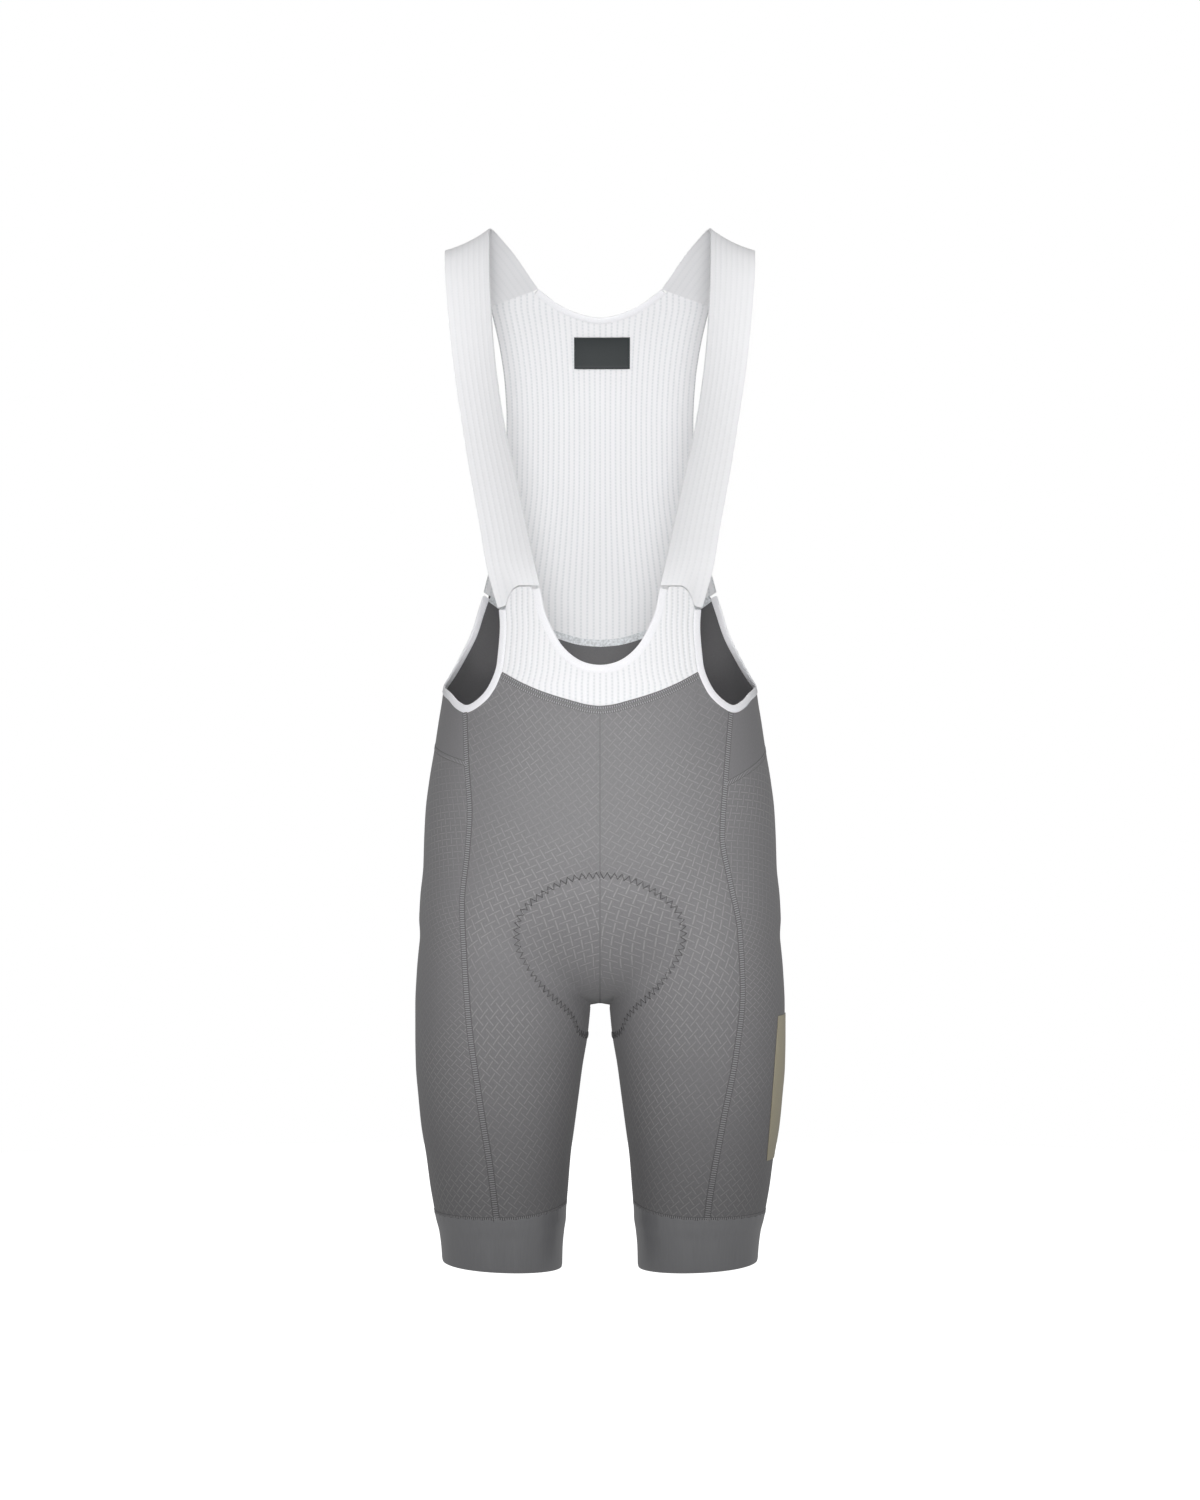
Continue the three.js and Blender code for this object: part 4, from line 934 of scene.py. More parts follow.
def rib_mesh(colours, name="Ribbed polyester mesh", strength=0.7):
    """White ribbed knit mesh: matt, bright ribs, and valleys greyed with painted shade, darker in uneven rows
    of holes.
    """
    material, tree = new_material(name)
    chart = add(tree, "ShaderNodeUVMap", uv_map="ribs")
    split = add(tree, "ShaderNodeSeparateXYZ", [chart])
    rib, run = split.outputs[0], split.outputs[1]
    place = add(tree, "ShaderNodeTexCoord").outputs["Object"]
    valley = add(tree, "ShaderNodeMath", [rib], operation="ROUND")
    off = add(tree, "ShaderNodeMath", [rib, valley], operation="SUBTRACT")
    off = add(tree, "ShaderNodeMath", [off], operation="ABSOLUTE")
    near_line = add(tree, "ShaderNodeMapRange", {0: off, 1: 0.06, 2: 0.26, 3: 1.0, 4: 0.0},
              interpolation_type="SMOOTHSTEP")
    stagger = add(tree, "ShaderNodeMath", [valley, 0.5], operation="MULTIPLY")
    rows = run
    for operation, value in (("MULTIPLY", HOLES_PER_MM), ("ADD", stagger), ("MULTIPLY", 2 * math.pi),
                             ("SINE", None)):
        rows = add(tree, "ShaderNodeMath", [rows, value], operation=operation)
    uneven = add(tree, "ShaderNodeTexNoise", {"Vector": place, "Scale": 260.0, "Detail": 2.0})
    holes = add(tree, "ShaderNodeMath", [rows, uneven], operation="MULTIPLY")
    holes = add(tree, "ShaderNodeMapRange", {0: holes, 1: -0.4, 2: 0.4, 3: 0.35, 4: 1.0})
    # Painted shade: the valleys, darker at the holes, are mixed towards the mesh shade colour
    dark = add(tree, "ShaderNodeMath", [near_line, holes], operation="MULTIPLY")
    dark = add(tree, "ShaderNodeMath", [dark, strength], operation="MULTIPLY")
    base = add(tree, "ShaderNodeMix", {0: dark, 6: opaque(colours.mesh), 7: opaque(colours.mesh_shade)},
               data_type="RGBA")
    height = add(tree, "ShaderNodeMath", [1.0, dark], operation="SUBTRACT")
    finish_material(tree, base.outputs[2], 0.75, height, 0.4, 0.0005, Sheen_Weight=0.2)
    return material


def strap_mesh(colours):
    """The same mesh, stretched nearly smooth, so that its valleys hardly show: its painted valley shade is
    much weaker.
    """
    return rib_mesh(colours, "Ribbed polyester strap", STRAP_RIB_SHADE)


def cover_stitch(colours):
    """Spun thread over a seam: a pale ladder between two rows of stitches, with painted shade between its
    rungs and along its edges, where the cloth's colour is darkened.
    """
    material, tree = new_material("Spun polyester thread, cover-stitched")
    chart = add(tree, "ShaderNodeUVMap", uv_map="stitches")
    split = add(tree, "ShaderNodeSeparateXYZ", [chart])
    step = add(tree, "ShaderNodeMath", [split.outputs[0], 2 * math.pi], operation="MULTIPLY")
    wave = add(tree, "ShaderNodeMath", [step], operation="COSINE")
    rung = add(tree, "ShaderNodeMapRange", {0: wave, 1: -0.5, 2: 0.5}, interpolation_type="SMOOTHSTEP")
    out = add(tree, "ShaderNodeMath", [split.outputs[1]], operation="ABSOLUTE")
    rim = add(tree, "ShaderNodeMapRange", {0: out, 1: 0.55, 2: 0.95, 3: 1.0, 4: 0.0},
              interpolation_type="SMOOTHSTEP")
    pale = add(tree, "ShaderNodeMath", [rung, rim], operation="MULTIPLY")
    # Painted shade: the cloth's colour darkened between the rungs and along the edges
    dark = opaque(shaded(colours.cloth, SEAM_SHADE))
    base = add(tree, "ShaderNodeMix", {0: pale, 6: dark, 7: opaque(colours.thread)}, data_type="RGBA")
    finish_material(tree, base.outputs[2], 0.7)
    return material


def plain_fabric(name, colour, rough, scale, spread, bump):
    """A smooth fabric, thread or film: matt to satin, with only a fine grain in its shade and height."""
    material, tree = new_material(name)
    place = add(tree, "ShaderNodeTexCoord").outputs["Object"]
    grain = add(tree, "ShaderNodeTexNoise", {"Vector": place, "Scale": scale, "Detail": 3.0})
    shade = add(tree, "ShaderNodeMapRange", {0: grain, 1: 0.3, 2: 0.7, 3: 1 - spread, 4: 1 + spread})
    tinted = add(tree, "ShaderNodeVectorMath", [tuple(colour), shade], operation="MULTIPLY")
    finish_material(tree, tinted, rough, grain, bump, 0.0002)
    return material


def studio_paint(colours):
    """Matt white paint on a floor that glows a little, so that it meets the white air without an edge."""
    material, tree = new_material("Matt white studio paint")
    finish_material(tree, opaque(colours.floor), 0.8, Emission_Color=opaque(colours.floor),
                    Emission_Strength=1.0)
    return material


MATERIALS = {}


def material_of(kind):
    """The garment's materials, each made once."""
    if kind not in MATERIALS:
        colours = bpy.context.scene.shorts_colours
        fabrics = {
            "binding": ("Folded elastic binding", colours.binding, 0.6, 900, 0.03, 0.2),
            # Painted shade: the zigzag thread takes half the cloth's colour, for the dark puckers along it
            "thread": ("Spun polyester thread", shaded(colours.cloth, ZIGZAG_SHADE), 0.7, 1500, 0.12, 0.3),
            "pale_thread": ("White polyester thread", colours.binding, 0.7, 1500, 0.08, 0.3),
            "centre": ("Spun polyester thread, closed seam", shaded(colours.cloth, CENTRE_SEAM_SHADE),
                       0.7, 1500, 0.12, 0.3),
            "overlock": ("White polyester thread, speckled", colours.mesh_shade, 0.7, 500, 0.25, 0.3),
            "label": ("Woven satin label", colours.label, 0.5, 1200, 0.15, 0.2),
            "patch": ("Bonded reflective film", colours.patch, 0.42, 1600, 0.08, 0.15),
            "pad": ("Brushed foam facing", colours.pad, 0.85, 700, 0.15, 0.3),
        }
        others = {
            "cloth": knit_cloth, "plain": plain_cloth, "gripper": satin_elastic, "mesh": rib_mesh,
            "strap": strap_mesh, "cover_stitch": cover_stitch, "floor": studio_paint,
        }
        if kind in fabrics:
            MATERIALS[kind] = plain_fabric(*fabrics[kind])
        else:
            MATERIALS[kind] = others[kind](colours)
    return MATERIALS[kind]


# Reliefs, in millimetres along the normal

def trough(points, path, width, depth):
    """A soft trough along a path of (x, z) points: a bell across it that fades towards its ends."""
    path = np.array(path, float)
    best = np.full(points.shape[:-1], 1e9)
    place = np.zeros(points.shape[:-1])
    for k, (a, b) in enumerate(zip(path[:-1], path[1:])):
        dx, dz = points[..., 0] - a[0], points[..., 2] - a[1]
        span = b - a
        t = np.clip((dx * span[0] + dz * span[1]) / (span @ span), 0, 1)
        distance = np.hypot(dx - t * span[0], dz - t * span[1])
        place = np.where(distance < best, (k + t) / (len(path) - 1), place)
        best = np.minimum(best, distance)
    fade = np.sin(math.pi * (0.08 + 0.84 * place))
    return -depth * fade * np.exp(-(best / width) ** 2)


# Creases of the grey cloth: path of (width, height), half width of the trough and its depth. Front ones
# are those of the photo; back ones are similar.
FRONT_CREASES = {
    "right": [
        ([(18, -690), (13, -700), (11, -712)], 2.2, 1.1),
        ([(28, -668), (20, -684), (15, -697)], 4.0, 0.7),
        ([(91, -412), (90, -426), (91, -444)], 2.4, 0.5),
        ([(97, -420), (96, -436), (98, -452)], 3.0, 0.35),
    ],
    "left": [
        ([(12, -686), (12, -697), (14, -706)], 2.0, 1.0),
        ([(30, -666), (22, -680), (18, -694)], 4.0, 0.6),
        ([(88, -410), (88, -426), (87, -446)], 2.4, 0.55),
        ([(95, -416), (94, -436), (95, -456)], 3.0, 0.4),
    ],
}
BACK_CREASES = [
    ([(6, -640), (12, -668), (20, -694)], 7.0, 1.0),
    ([(60, -690), (84, -702), (112, -706)], 7.0, 0.6),
    ([(40, -462), (70, -458), (104, -462)], 6.0, 0.4),
]


# Half widths, depths and places of the pad's sewn line, the side seam's pull and the crotch's underside
PAD_LINE_HALF = 2.6
PAD_LINE_DEPTH = 0.5
PAD_LINE_LOW_Z = -690
PAD_LINE_FADE = 12
SEAM_PULL_WIDTH = 3.0
SEAM_PULL = 0.3
UNDERSIDE_Z = -688
UNDERSIDE_FADE = 6


def edge_fall(distance, width, depth):
    """Cloth pulled down into a seam: a bell of depth at the edge."""
    return -depth * np.exp(-(distance / width) ** 2)


def pad_relief(points):
    """Lift of the cloth over the pad, and the shallow line on which it is sewn down."""
    inside = pad_distance(points)
    line = edge_fall(inside, PAD_LINE_HALF, PAD_LINE_DEPTH)
    shown = smooth((points[..., 2] - PAD_LINE_LOW_Z) / PAD_LINE_FADE)
    return PAD_LIFT * smooth(inside / PAD_LIFT_EDGE) + line * shown


def front_relief(points, side, seam_distance):
    """The pad's relief, the creases, and the pull of the side seam."""
    creases = sum(trough(points, *crease) for crease in FRONT_CREASES[side])
    return pad_relief(points) + creases + edge_fall(seam_distance, SEAM_PULL_WIDTH, SEAM_PULL)


def back_relief(points, seam_distance):
    """The creases behind, and the pull of the side seam."""
    creases = sum(trough(points, *crease) for crease in BACK_CREASES)
    return np.where(points[..., 1] > 0, creases, 0) + edge_fall(seam_distance, SEAM_PULL_WIDTH, SEAM_PULL)


def shell(grid, relief, thickness, half=True):
    """Outer and inner faces of a piece of cloth: its grid moved along the normals."""
    normal = normal_at(grid)
    faces = []
    for offset in (relief, relief - thickness):
        moved = grid + normal * np.asarray(offset)[..., None]
        faces.append(keep_half(moved) if half else moved)
    return faces


def row_distance(grid):
    """Distance along each row from its first point."""
    steps = np.linalg.norm(np.diff(grid, axis=1), axis=-1)
    return np.concatenate([np.zeros((len(grid), 1)), np.cumsum(steps, axis=1)], axis=1)


# Sewing

def resampled(normal, count):
    """Unit normals along a line, at another number of even places."""
    at, known = np.linspace(0, 1, count), np.linspace(0, 1, len(normal))
    return unit(stack(*[np.interp(at, known, normal[:, k]) for k in range(3)]))


def seam_band(line, normal, stitch, width, lift=0.42, rows=8):
    """A cover-stitched seam laid on a line: a flat band with two rows of stitches near its edges and
    threads across it. Height above the cloth = base + needle rows + ladder, both waves along the line."""
    length = np.concatenate([[0], np.cumsum(np.linalg.norm(np.diff(line, axis=0), axis=1))])
    count = int(length[-1] / stitch * 4)
    at = np.linspace(0, length[-1], count)
    path = stack(*[np.interp(at, length, line[:, k]) for k in range(3)])
    up = unit(stack(*[np.interp(at, length, normal[:, k]) for k in range(3)]))
    tangent = unit(np.gradient(path, axis=0))
    across = unit(np.cross(tangent, up))
    v = np.linspace(-1, 1, rows)[None, :]
    phase = at[:, None] / stitch * 2 * math.pi
    needle = np.exp(-((np.abs(v) - 0.72) / 0.2) ** 2) * (0.6 + 0.4 * np.cos(phase))
    ladder = np.exp(-(v / 0.62) ** 4) * np.clip(np.cos(phase + v * 0.8), 0, 1) ** 0.7
    height = 0.08 + lift * (0.55 * needle + 0.5 * ladder) * (1 - np.abs(v) ** 8)
    centre = path[:, None] + across[:, None] * (v * width / 2)[..., None]
    points, quads = wall(centre + up[:, None] * height[..., None], centre - up[:, None] * 0.35)
    return points, quads, doubled(stack(at[:, None] / stitch, v))


def stitch_run(line, normal, stitch, radius, sink=0.25, sides=5):
    """A row of straight stitches: a thread that arches out of the cloth and dives at each needle hole."""
    count = max(int(np.linalg.norm(np.diff(line, axis=0), axis=1).sum() / stitch * 6), 8)
    path, tangent = even_line(line, count)
    up = resampled(normal, count)
    wave = np.abs(np.sin(math.pi * np.arange(count) / 6)) ** 0.6
    path = path + up * ((radius + sink) * wave - sink)[:, None]
    return tube(path, sides, up, unit(np.cross(tangent, up)), radius)


def zigzag(line, normal, width, pitch, radius, sides=6):
    """A zigzag thread: a triangle wave across the line, low at its turns where it enters the cloth."""
    length = np.linalg.norm(np.diff(line, axis=0), axis=1).sum()
    turns = int(length / pitch) * 2
    count = turns * 4 + 1
    path, tangent = even_line(line, count)
    up = resampled(normal, count)
    across = unit(np.cross(tangent, up))
    step = np.arange(count) / 4
    wave = 2 * np.abs(2 * (step / 2 - np.floor(step / 2 + 0.5))) - 1
    rise = radius + 0.25 - 0.4 * np.abs(wave) ** 4
    path = path + across * (wave * width / 2)[:, None] + up * rise[:, None]
    return tube(path, sides, up, across, radius)


def seam_line(side, top, bottom, count=240):
    """The front side seam on the body form between two heights."""
    z = np.linspace(top, bottom, count)
    turn = np.interp(-z, -SEAM_HEIGHTS, SEAM_TURNS[side])
    return surface_point(z, turn)


def sheet(cut, rests_on):
    """Unpacks a piece of cloth's cut: width, length and flat area, in millimetres; nothing is declared or
    kept.
    """
    width, length, area = cut
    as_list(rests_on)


# Cut of each piece before it is stretched on: width, length and flat area
CUTS = {
    "front_panel": (165, 430, 53200),
    "back_panel": (330, 440, 124700),
    "back_yoke": (540, 130, 38300),
    "bib_front": (165, 105, 8120),
    "bib_back": (205, 310, 51700),
    "strap": (46, 395, 17770),
    "armhole_binding": (15.5, 255, 3930),
    "neck_binding": (16.5, 165, 2700),
    "back_neck_hem": (13, 112, 1450),
    "leg_gripper": (352, 50, 17600),
    "neck_label": (52, 28.7, 1492),
    "leg_patch": (45, 130, 5850),
}


# Fineness of the grids: columns across a half, and millimetres between rows or a number of rows
FRONT_COLUMNS = 78
FRONT_STEP = 2.7
BACK_COLUMNS = 120
BACK_STEP = 2.9
YOKE_COLUMNS = 130
YOKE_BAND_ROWS = 26
POINTS_PER_RIB = 6
BIB_ROWS_DOWN = 44
BACK_ROWS_DOWN = 60
STRAP_ROWS = 130
POINTS_PER_STRAP_RIB = 8

# Faces of the label, the film and the pad: millimetres out from the body form, so inner ones are negative
LABEL_BACK_FACE = -1.75
LABEL_FRONT_FACE = -2.5
LABEL_HEM_RISE = 0.12
FILM_FACE = 0.75
FILM_THICKNESS = 0.45
PAD_CLOTH_FACE = -4.4
PAD_EDGE_DROP = 0.8
PAD_SKIN_FACE = -4.6
PAD_THICKNESS = 6.8
PAD_CHANNEL_DEPTH = 1.4
PAD_CHANNEL_AT = 0.55
STRAP_THICKNESS = 1.2


class PieceOperator:
    """What the operators that build pieces share."""
    bl_options = {"REGISTER"}

    @property
    def sizes(self):
        return bpy.context.scene.shorts_sizes


class BIB_OT_front_panels(PieceOperator, bpy.types.Operator):
    """Builds the two front panels with their side seams"""
    bl_idname = "bib.front_panels"
    bl_label = "Front panels"

    def execute(self, context):
        sizes = self.sizes
        thickness = in_mm(sizes.cloth_wall)
        for side, facts in SIDES.items():
            grid = front_grid(side, FRONT_COLUMNS, FRONT_STEP)
            run = row_distance(grid)
            relief = front_relief(grid, side, run[:, -1:] - run)
            outer, inner = shell(grid, relief, thickness)
            chart = lattice_chart(grid, FRONT_LATTICE, in_mm(sizes.lattice_spacing), True)
            points, quads = wall(mirrored(outer, facts["sign"]), mirrored(inner, facts["sign"]))
            node = f"front_panel_{side}"
            panel = add_piece(f"{node}_cloth", points, [quads], material_of("cloth"),
                              {"lattice": doubled(chart), "inner_face": inner_face_chart(grid)}, node)
            sheet(CUTS["front_panel"], ["bib_front", f"leg_gripper_{side}"])
        return {"FINISHED"}


class BIB_OT_back_panels(PieceOperator, bpy.types.Operator):
    """Builds the two back panels, from the front side seams round to the centre back"""
    bl_idname = "bib.back_panels"
    bl_label = "Back panels"

    def execute(self, context):
        sizes = self.sizes
        thickness = in_mm(sizes.cloth_wall)
        for side, facts in SIDES.items():
            grid = back_grid(side, BACK_COLUMNS, BACK_STEP)
            relief = back_relief(grid, row_distance(grid))
            outer, inner = shell(grid, relief, thickness)
            chart = lattice_chart(grid, BACK_LATTICE, in_mm(sizes.lattice_spacing), False)
            points, quads = wall(mirrored(outer, facts["sign"]), mirrored(inner, facts["sign"]))
            node = f"back_panel_{side}"
            panel = add_piece(f"{node}_cloth", points, [quads], material_of("cloth"),
                              {"lattice": doubled(chart), "inner_face": inner_face_chart(grid)}, node)
            sheet(CUTS["back_panel"], ["back_yoke", f"leg_gripper_{side}"])
        return {"FINISHED"}


class BIB_OT_yoke(PieceOperator, bpy.types.Operator):
    """Builds the back yoke, one band round the back"""
    bl_idname = "bib.yoke"
    bl_label = "Back yoke"

    def execute(self, context):
        thickness = in_mm(self.sizes.cloth_wall)
        faces = []
        for side in ("right", "left"):
            grid = yoke_grid(side, YOKE_COLUMNS, YOKE_BAND_ROWS)
            halves = shell(grid, np.zeros(grid.shape[:2]), thickness, half=False)
            faces.append([mirrored(half, SIDES[side]["sign"]) for half in halves])
        outer, inner = (np.concatenate([faces[0][k], faces[1][k][:, -2::-1]], axis=1) for k in (0, 1))
        points, quads = wall(outer, inner)
        yoke = add_piece("back_yoke_cloth", points, [quads], material_of("plain"),
                         {"inner_face": inner_face_chart(outer)}, "back_yoke")
        sheet(CUTS["back_yoke"], ["bib_back", "front_panel_right", "front_panel_left"])
        return {"FINISHED"}


def ribbed(name, node, facing, ribs, rows, lines, cut, rests_on):
    """Ribbed mesh on the torso between a top and a bottom line: each rib is an arch across, on both faces."""
    sizes = bpy.context.scene.shorts_sizes
    w = np.linspace(-1, 1, ribs * POINTS_PER_RIB + 1)[None, :]
    f = np.linspace(0, 1, rows + 1)[:, None]
    z = np.full((rows + 1, w.size), float(lines["start"]))
    for _ in range(SETTLING_ROUNDS):
        x = w * lines["side"](z)
        z = mix(z, mix(lines["top"](x), lines["bottom"](x), f), SETTLING_PACE)
    grid = torso_point(w * lines["side"](z), z, facing)
    phase = (w + 1) / 2 * ribs
    arch = np.abs(np.sin(math.pi * phase)) ** 0.7 * np.ones_like(z)
    side_hem = np.minimum(phase, ribs - phase) * 2 < 1.6 if lines.get("hem") else np.zeros_like(phase, bool)
    arch = np.where(side_hem, 0.9, arch)
    height = in_mm(sizes.rib_height)
    outer, _ = shell(grid, arch * height, 0, half=False)
    _, inner = shell(grid, -0.6 * arch * height, in_mm(sizes.mesh_wall) - 0.3 * height, half=False)
    chart = stack(phase * np.ones_like(z), z)
    points, quads = wall(outer, inner)
    piece = add_piece(name, points, [quads], material_of("mesh"), {"ribs": doubled(chart)}, node)
    sheet(cut, rests_on)
    return piece


def strap_grid(across, rows):
    """A strap: two curves over the shoulder joined by bowed lines, with its end rows on the torso at the
    seams, and the rows between them on a smooth curve."""
    table = np.array(STRAP, float)
    at = np.linspace(0, 1, 17)
    inner, outer = catmull_rom(table[:, :3], at), catmull_rom(table[:, 3:], at)
    forward = catmull_rom(table[:, :3], at + 1e-4) - catmull_rom(table[:, :3], at - 1e-4)
    bowed = unit(np.cross(outer - inner, forward))
    w = across[None, :, None]
    middle = mix(inner[:, None], outer[:, None], w) - bowed[:, None] * 4 * w * (1 - w) * STRAP_BOW
    ends = []
    for seam, facing, shift in ((STRAP_FRONT_SEAM, FRONT, SLANT_GAP), (STRAP_BACK_SEAM, BACK, HALF_GAP)):
        x = mix(seam[0][0], seam[-1][0], across)
        ends.append(torso_point(x, along(seam, 1, x) + shift, facing)[None])
    coarse = np.concatenate([ends[0], middle, ends[1]])
    flat = coarse.reshape(len(coarse), -1)
    places = np.linspace(0, len(coarse) - 1, rows)
    i = np.clip(places.astype(int), 0, len(coarse) - 2)
    t = (places - i)[:, None]
    padded = np.concatenate([[2 * flat[0] - flat[1]], flat, [2 * flat[-1] - flat[-2]]])
    a, b, c, d = padded[i], padded[i + 1], padded[i + 2], padded[i + 3]
    fine = 0.5 * (2 * b + (c - a) * t + (2 * a - 5 * b + 4 * c - d) * t ** 2
                  + (3 * b - a - 3 * c + d) * t ** 3)
    return fine.reshape(rows, len(across), 3)


class BIB_OT_mesh(PieceOperator, bpy.types.Operator):
    """Builds the ribbed front mesh and back mesh"""
    bl_idname = "bib.mesh"
    bl_label = "Ribbed mesh"

    def execute(self, context):
        sizes = self.sizes
        bib_side = ARMHOLE_CLOTH[(ARMHOLE_CLOTH[:, 1] < 0) & (ARMHOLE_CLOTH[:, 2] > BIB_SEAM[-1][1] - 12)]
        scoop_end, neck_end = SCOOP_CLOTH[-1, 0] + SLANT_GAP, NECKLINE_CLOTH[-1, 0] + SLANT_GAP

        def bib_top(x):
            x = np.abs(x)
            return np.where(x < scoop_end, np.interp(x, SCOOP_CLOTH[:, 0], SCOOP_CLOTH[:, 2]),
                            along(STRAP_FRONT_SEAM, 1, x) - HALF_GAP)

        def back_top(x):
            x = np.abs(x)
            return np.where(x < neck_end, np.interp(x, NECKLINE_CLOTH[:, 0], NECKLINE_CLOTH[:, 2]),
                            along(STRAP_BACK_SEAM, 1, x) - 2 * HALF_GAP)

        ribbed("bib_front_mesh", "bib_front", FRONT, sizes.bib_ribs, BIB_ROWS_DOWN, {
            "start": -400,
            "side": lambda z: np.interp(z, bib_side[::-1, 2], bib_side[::-1, 0]) - HALF_GAP,
            "top": bib_top,
            "bottom": lambda x: bib_seam_height(x) + HALF_GAP,
        }, CUTS["bib_front"], ["strap_right", "strap_left"])
        ribbed("bib_back_mesh", "bib_back", BACK, sizes.back_ribs, BACK_ROWS_DOWN, {
            "start": -200,
            "side": lambda z: along(BACK_MESH_SIDE, 1, z),
            "top": back_top,
            "bottom": lambda x: yoke_seam_height(x) + HALF_GAP,
            "hem": True,
        }, CUTS["bib_back"], ["strap_right", "strap_left"])
        return {"FINISHED"}


class BIB_OT_straps(PieceOperator, bpy.types.Operator):
    """Builds the two shoulder straps"""
    bl_idname = "bib.straps"
    bl_label = "Straps"

    def execute(self, context):
        sizes = self.sizes
        ribs, height = sizes.strap_ribs, in_mm(sizes.rib_height)
        across = np.linspace(0, 1, ribs * POINTS_PER_STRAP_RIB + 1)
        grid = strap_grid(across, STRAP_ROWS)
        down, side = np.gradient(grid, axis=0), np.gradient(grid, axis=1)
        normal = unit(np.cross(down, side))
        middle = len(across) // 2
        if normal[20, middle, 1] > 0:
            normal = -normal
        arch = np.abs(np.sin(math.pi * across * ribs))[None, :] ** 0.7
        hem = (np.minimum(across, 1 - across) * ribs < 0.8)[None, :]
        rows = np.arange(len(grid))[:, None]
        ends = smooth(np.minimum(rows, len(grid) - 1 - rows) / 6)
        arch = mix(0.8, np.where(hem, 0.9, 0.6 + 0.4 * arch), ends)
        outer = grid + normal * (arch * height)[..., None]
        inner = grid - normal * (STRAP_THICKNESS + 0.3 * arch * height)[..., None]
        run = np.concatenate([[0], np.cumsum(np.linalg.norm(np.diff(grid[:, middle], axis=0), axis=1))])
        chart = stack((across * ribs)[None, :], run[:, None])
        for name, facts in SIDES.items():
            points, quads = wall(mirrored(outer, facts["sign"]), mirrored(inner, facts["sign"]))
            strap = add_piece(f"strap_{name}_mesh", points, [quads], material_of("strap"),
                              {"ribs": doubled(chart)}, f"strap_{name}")
            sheet(CUTS["strap"], ["bib_front", "bib_back"])
        return {"FINISHED"}


# Bindings: rise of the fold's outer layer, its whole thickness, its lap past the cloth's edge, and the
# height and the inset of its row of stitches
BINDING_PROUD = 0.55
BINDING_THICKNESS = 2.25
BINDING_LAP = EDGE_GAP + 0.5
BINDING_TOP = 0.45
BINDING_INSET = 0.4


def rolled_band(edge, width, count):
    """A binding folded over a free edge, its two layers lapping a little past the cloth's edge. Its profile
    is most of a flattened oval and a thinner one inside it: distance = reach (1 - cos t) with the cosine to
    the power 0.62, height = middle + half thickness sin t to the power 0.8."""
    line, tangent, normal = edge_line(edge, count)
    away = unit(np.cross(tangent, normal))
    t = np.linspace(-math.pi + 0.25, math.pi - 0.25, 20)
    reach = (width + BINDING_LAP) / 2
    flat_cos = np.sign(np.cos(t)) * np.abs(np.cos(t)) ** 0.62
    flat_sin = np.sign(np.sin(t)) * np.abs(np.sin(t)) ** 0.8
    distance = np.concatenate([reach * (1 - flat_cos), reach - (reach - 0.8) * flat_cos[::-1]])
    half = BINDING_THICKNESS / 2
    rise = BINDING_PROUD - half + half * np.concatenate([flat_sin, 0.3 * flat_sin[::-1]])
    base = seat(line[:, None] + away[:, None] * distance[None, :, None])
    return base + normal_at(base) * rise[None, :, None], line, away, normal


class BIB_OT_bindings(PieceOperator, bpy.types.Operator):
    """Builds the bindings of the armholes and the front scoop, and the back neck's hem, with stitches"""
    bl_idname = "bib.bindings"
    bl_label = "Bindings and hem"

    def execute(self, context):
        stitch = in_mm(self.sizes.stitch)
        jobs = [(f"armhole_binding_{name}", ARMHOLE, ARMHOLE_BINDING, facts["sign"], "armhole_binding", 220,
                 ["bib_front", "back_yoke"]) for name, facts in SIDES.items()]
        jobs += [("neck_binding", SCOOP, NECK_BINDING, 1, "neck_binding", 200, ["bib_front"]),
                 ("back_neck_hem", NECKLINE, BACK_HEM, 1, "back_neck_hem", 120, ["bib_back"])]
        for node, edge, width, sign, cut, count, rests_on in jobs:
            ring, line, away, normal = rolled_band(edge, width, count)
            ring = mirrored(ring, sign)
            points, quads, caps = closed_tube(ring, ring[0].mean(axis=0), ring[-1].mean(axis=0))
            band = add_piece(f"{node}_fold", points, [quads, caps], material_of("binding"), node=node)
            inset = seat(line + away * (width - BINDING_INSET))
            top = mirrored(inset + normal_at(inset) * BINDING_TOP, sign)
            points, threads, caps = stitch_run(top, mirrored(normal, sign), stitch, 0.2)
            seam = add_piece(f"{node}_stitches", points, [threads, caps], material_of("pale_thread"))
            sheet(CUTS[cut], rests_on)
        return {"FINISHED"}


class BIB_OT_grippers(PieceOperator, bpy.types.Operator):
    """Builds the elastic bands at the ends of the legs"""
    bl_idname = "bib.grippers"
    bl_label = "Leg grippers"

    def execute(self, context):
        turn = np.linspace(-math.pi, math.pi, 221)[None, :-1]
        f = np.linspace(0, 1, 33)[:, None]
        z = mix(gripper_top(turn) - HALF_GAP, hem_height(turn), f)
        grid = surface_point(z, turn * np.ones_like(z))
        down = gripper_top(turn) - z
        pinch = 0.22 * np.sin(turn * 46 + 1.7 * np.sin(turn * 5)) * np.exp(-down / 4.5)
        roll = 0.35 * np.exp(-((down - 1.2) / 1.4) ** 2)
        wave = 0.3 * np.sin(turn * 3 + 0.6) * np.sin(math.pi * f)
        fall = edge_fall(z - hem_height(turn), 1.2, 0.45)
        outer, _ = shell(grid, pinch + roll + wave + fall, 0, half=False)
        _, inner = shell(grid, pinch + wave, GRIPPER_WALL, half=False)
        for name, facts in SIDES.items():
            points, quads = wall(mirrored(outer, facts["sign"]), mirrored(inner, facts["sign"]), loop=True)
            node = f"leg_gripper_{name}"
            band = add_piece(f"{node}_band", points, [quads], material_of("gripper"),
                             node=node)
            sheet(CUTS["leg_gripper"], [f"front_panel_{name}", f"back_panel_{name}"])
        return {"FINISHED"}


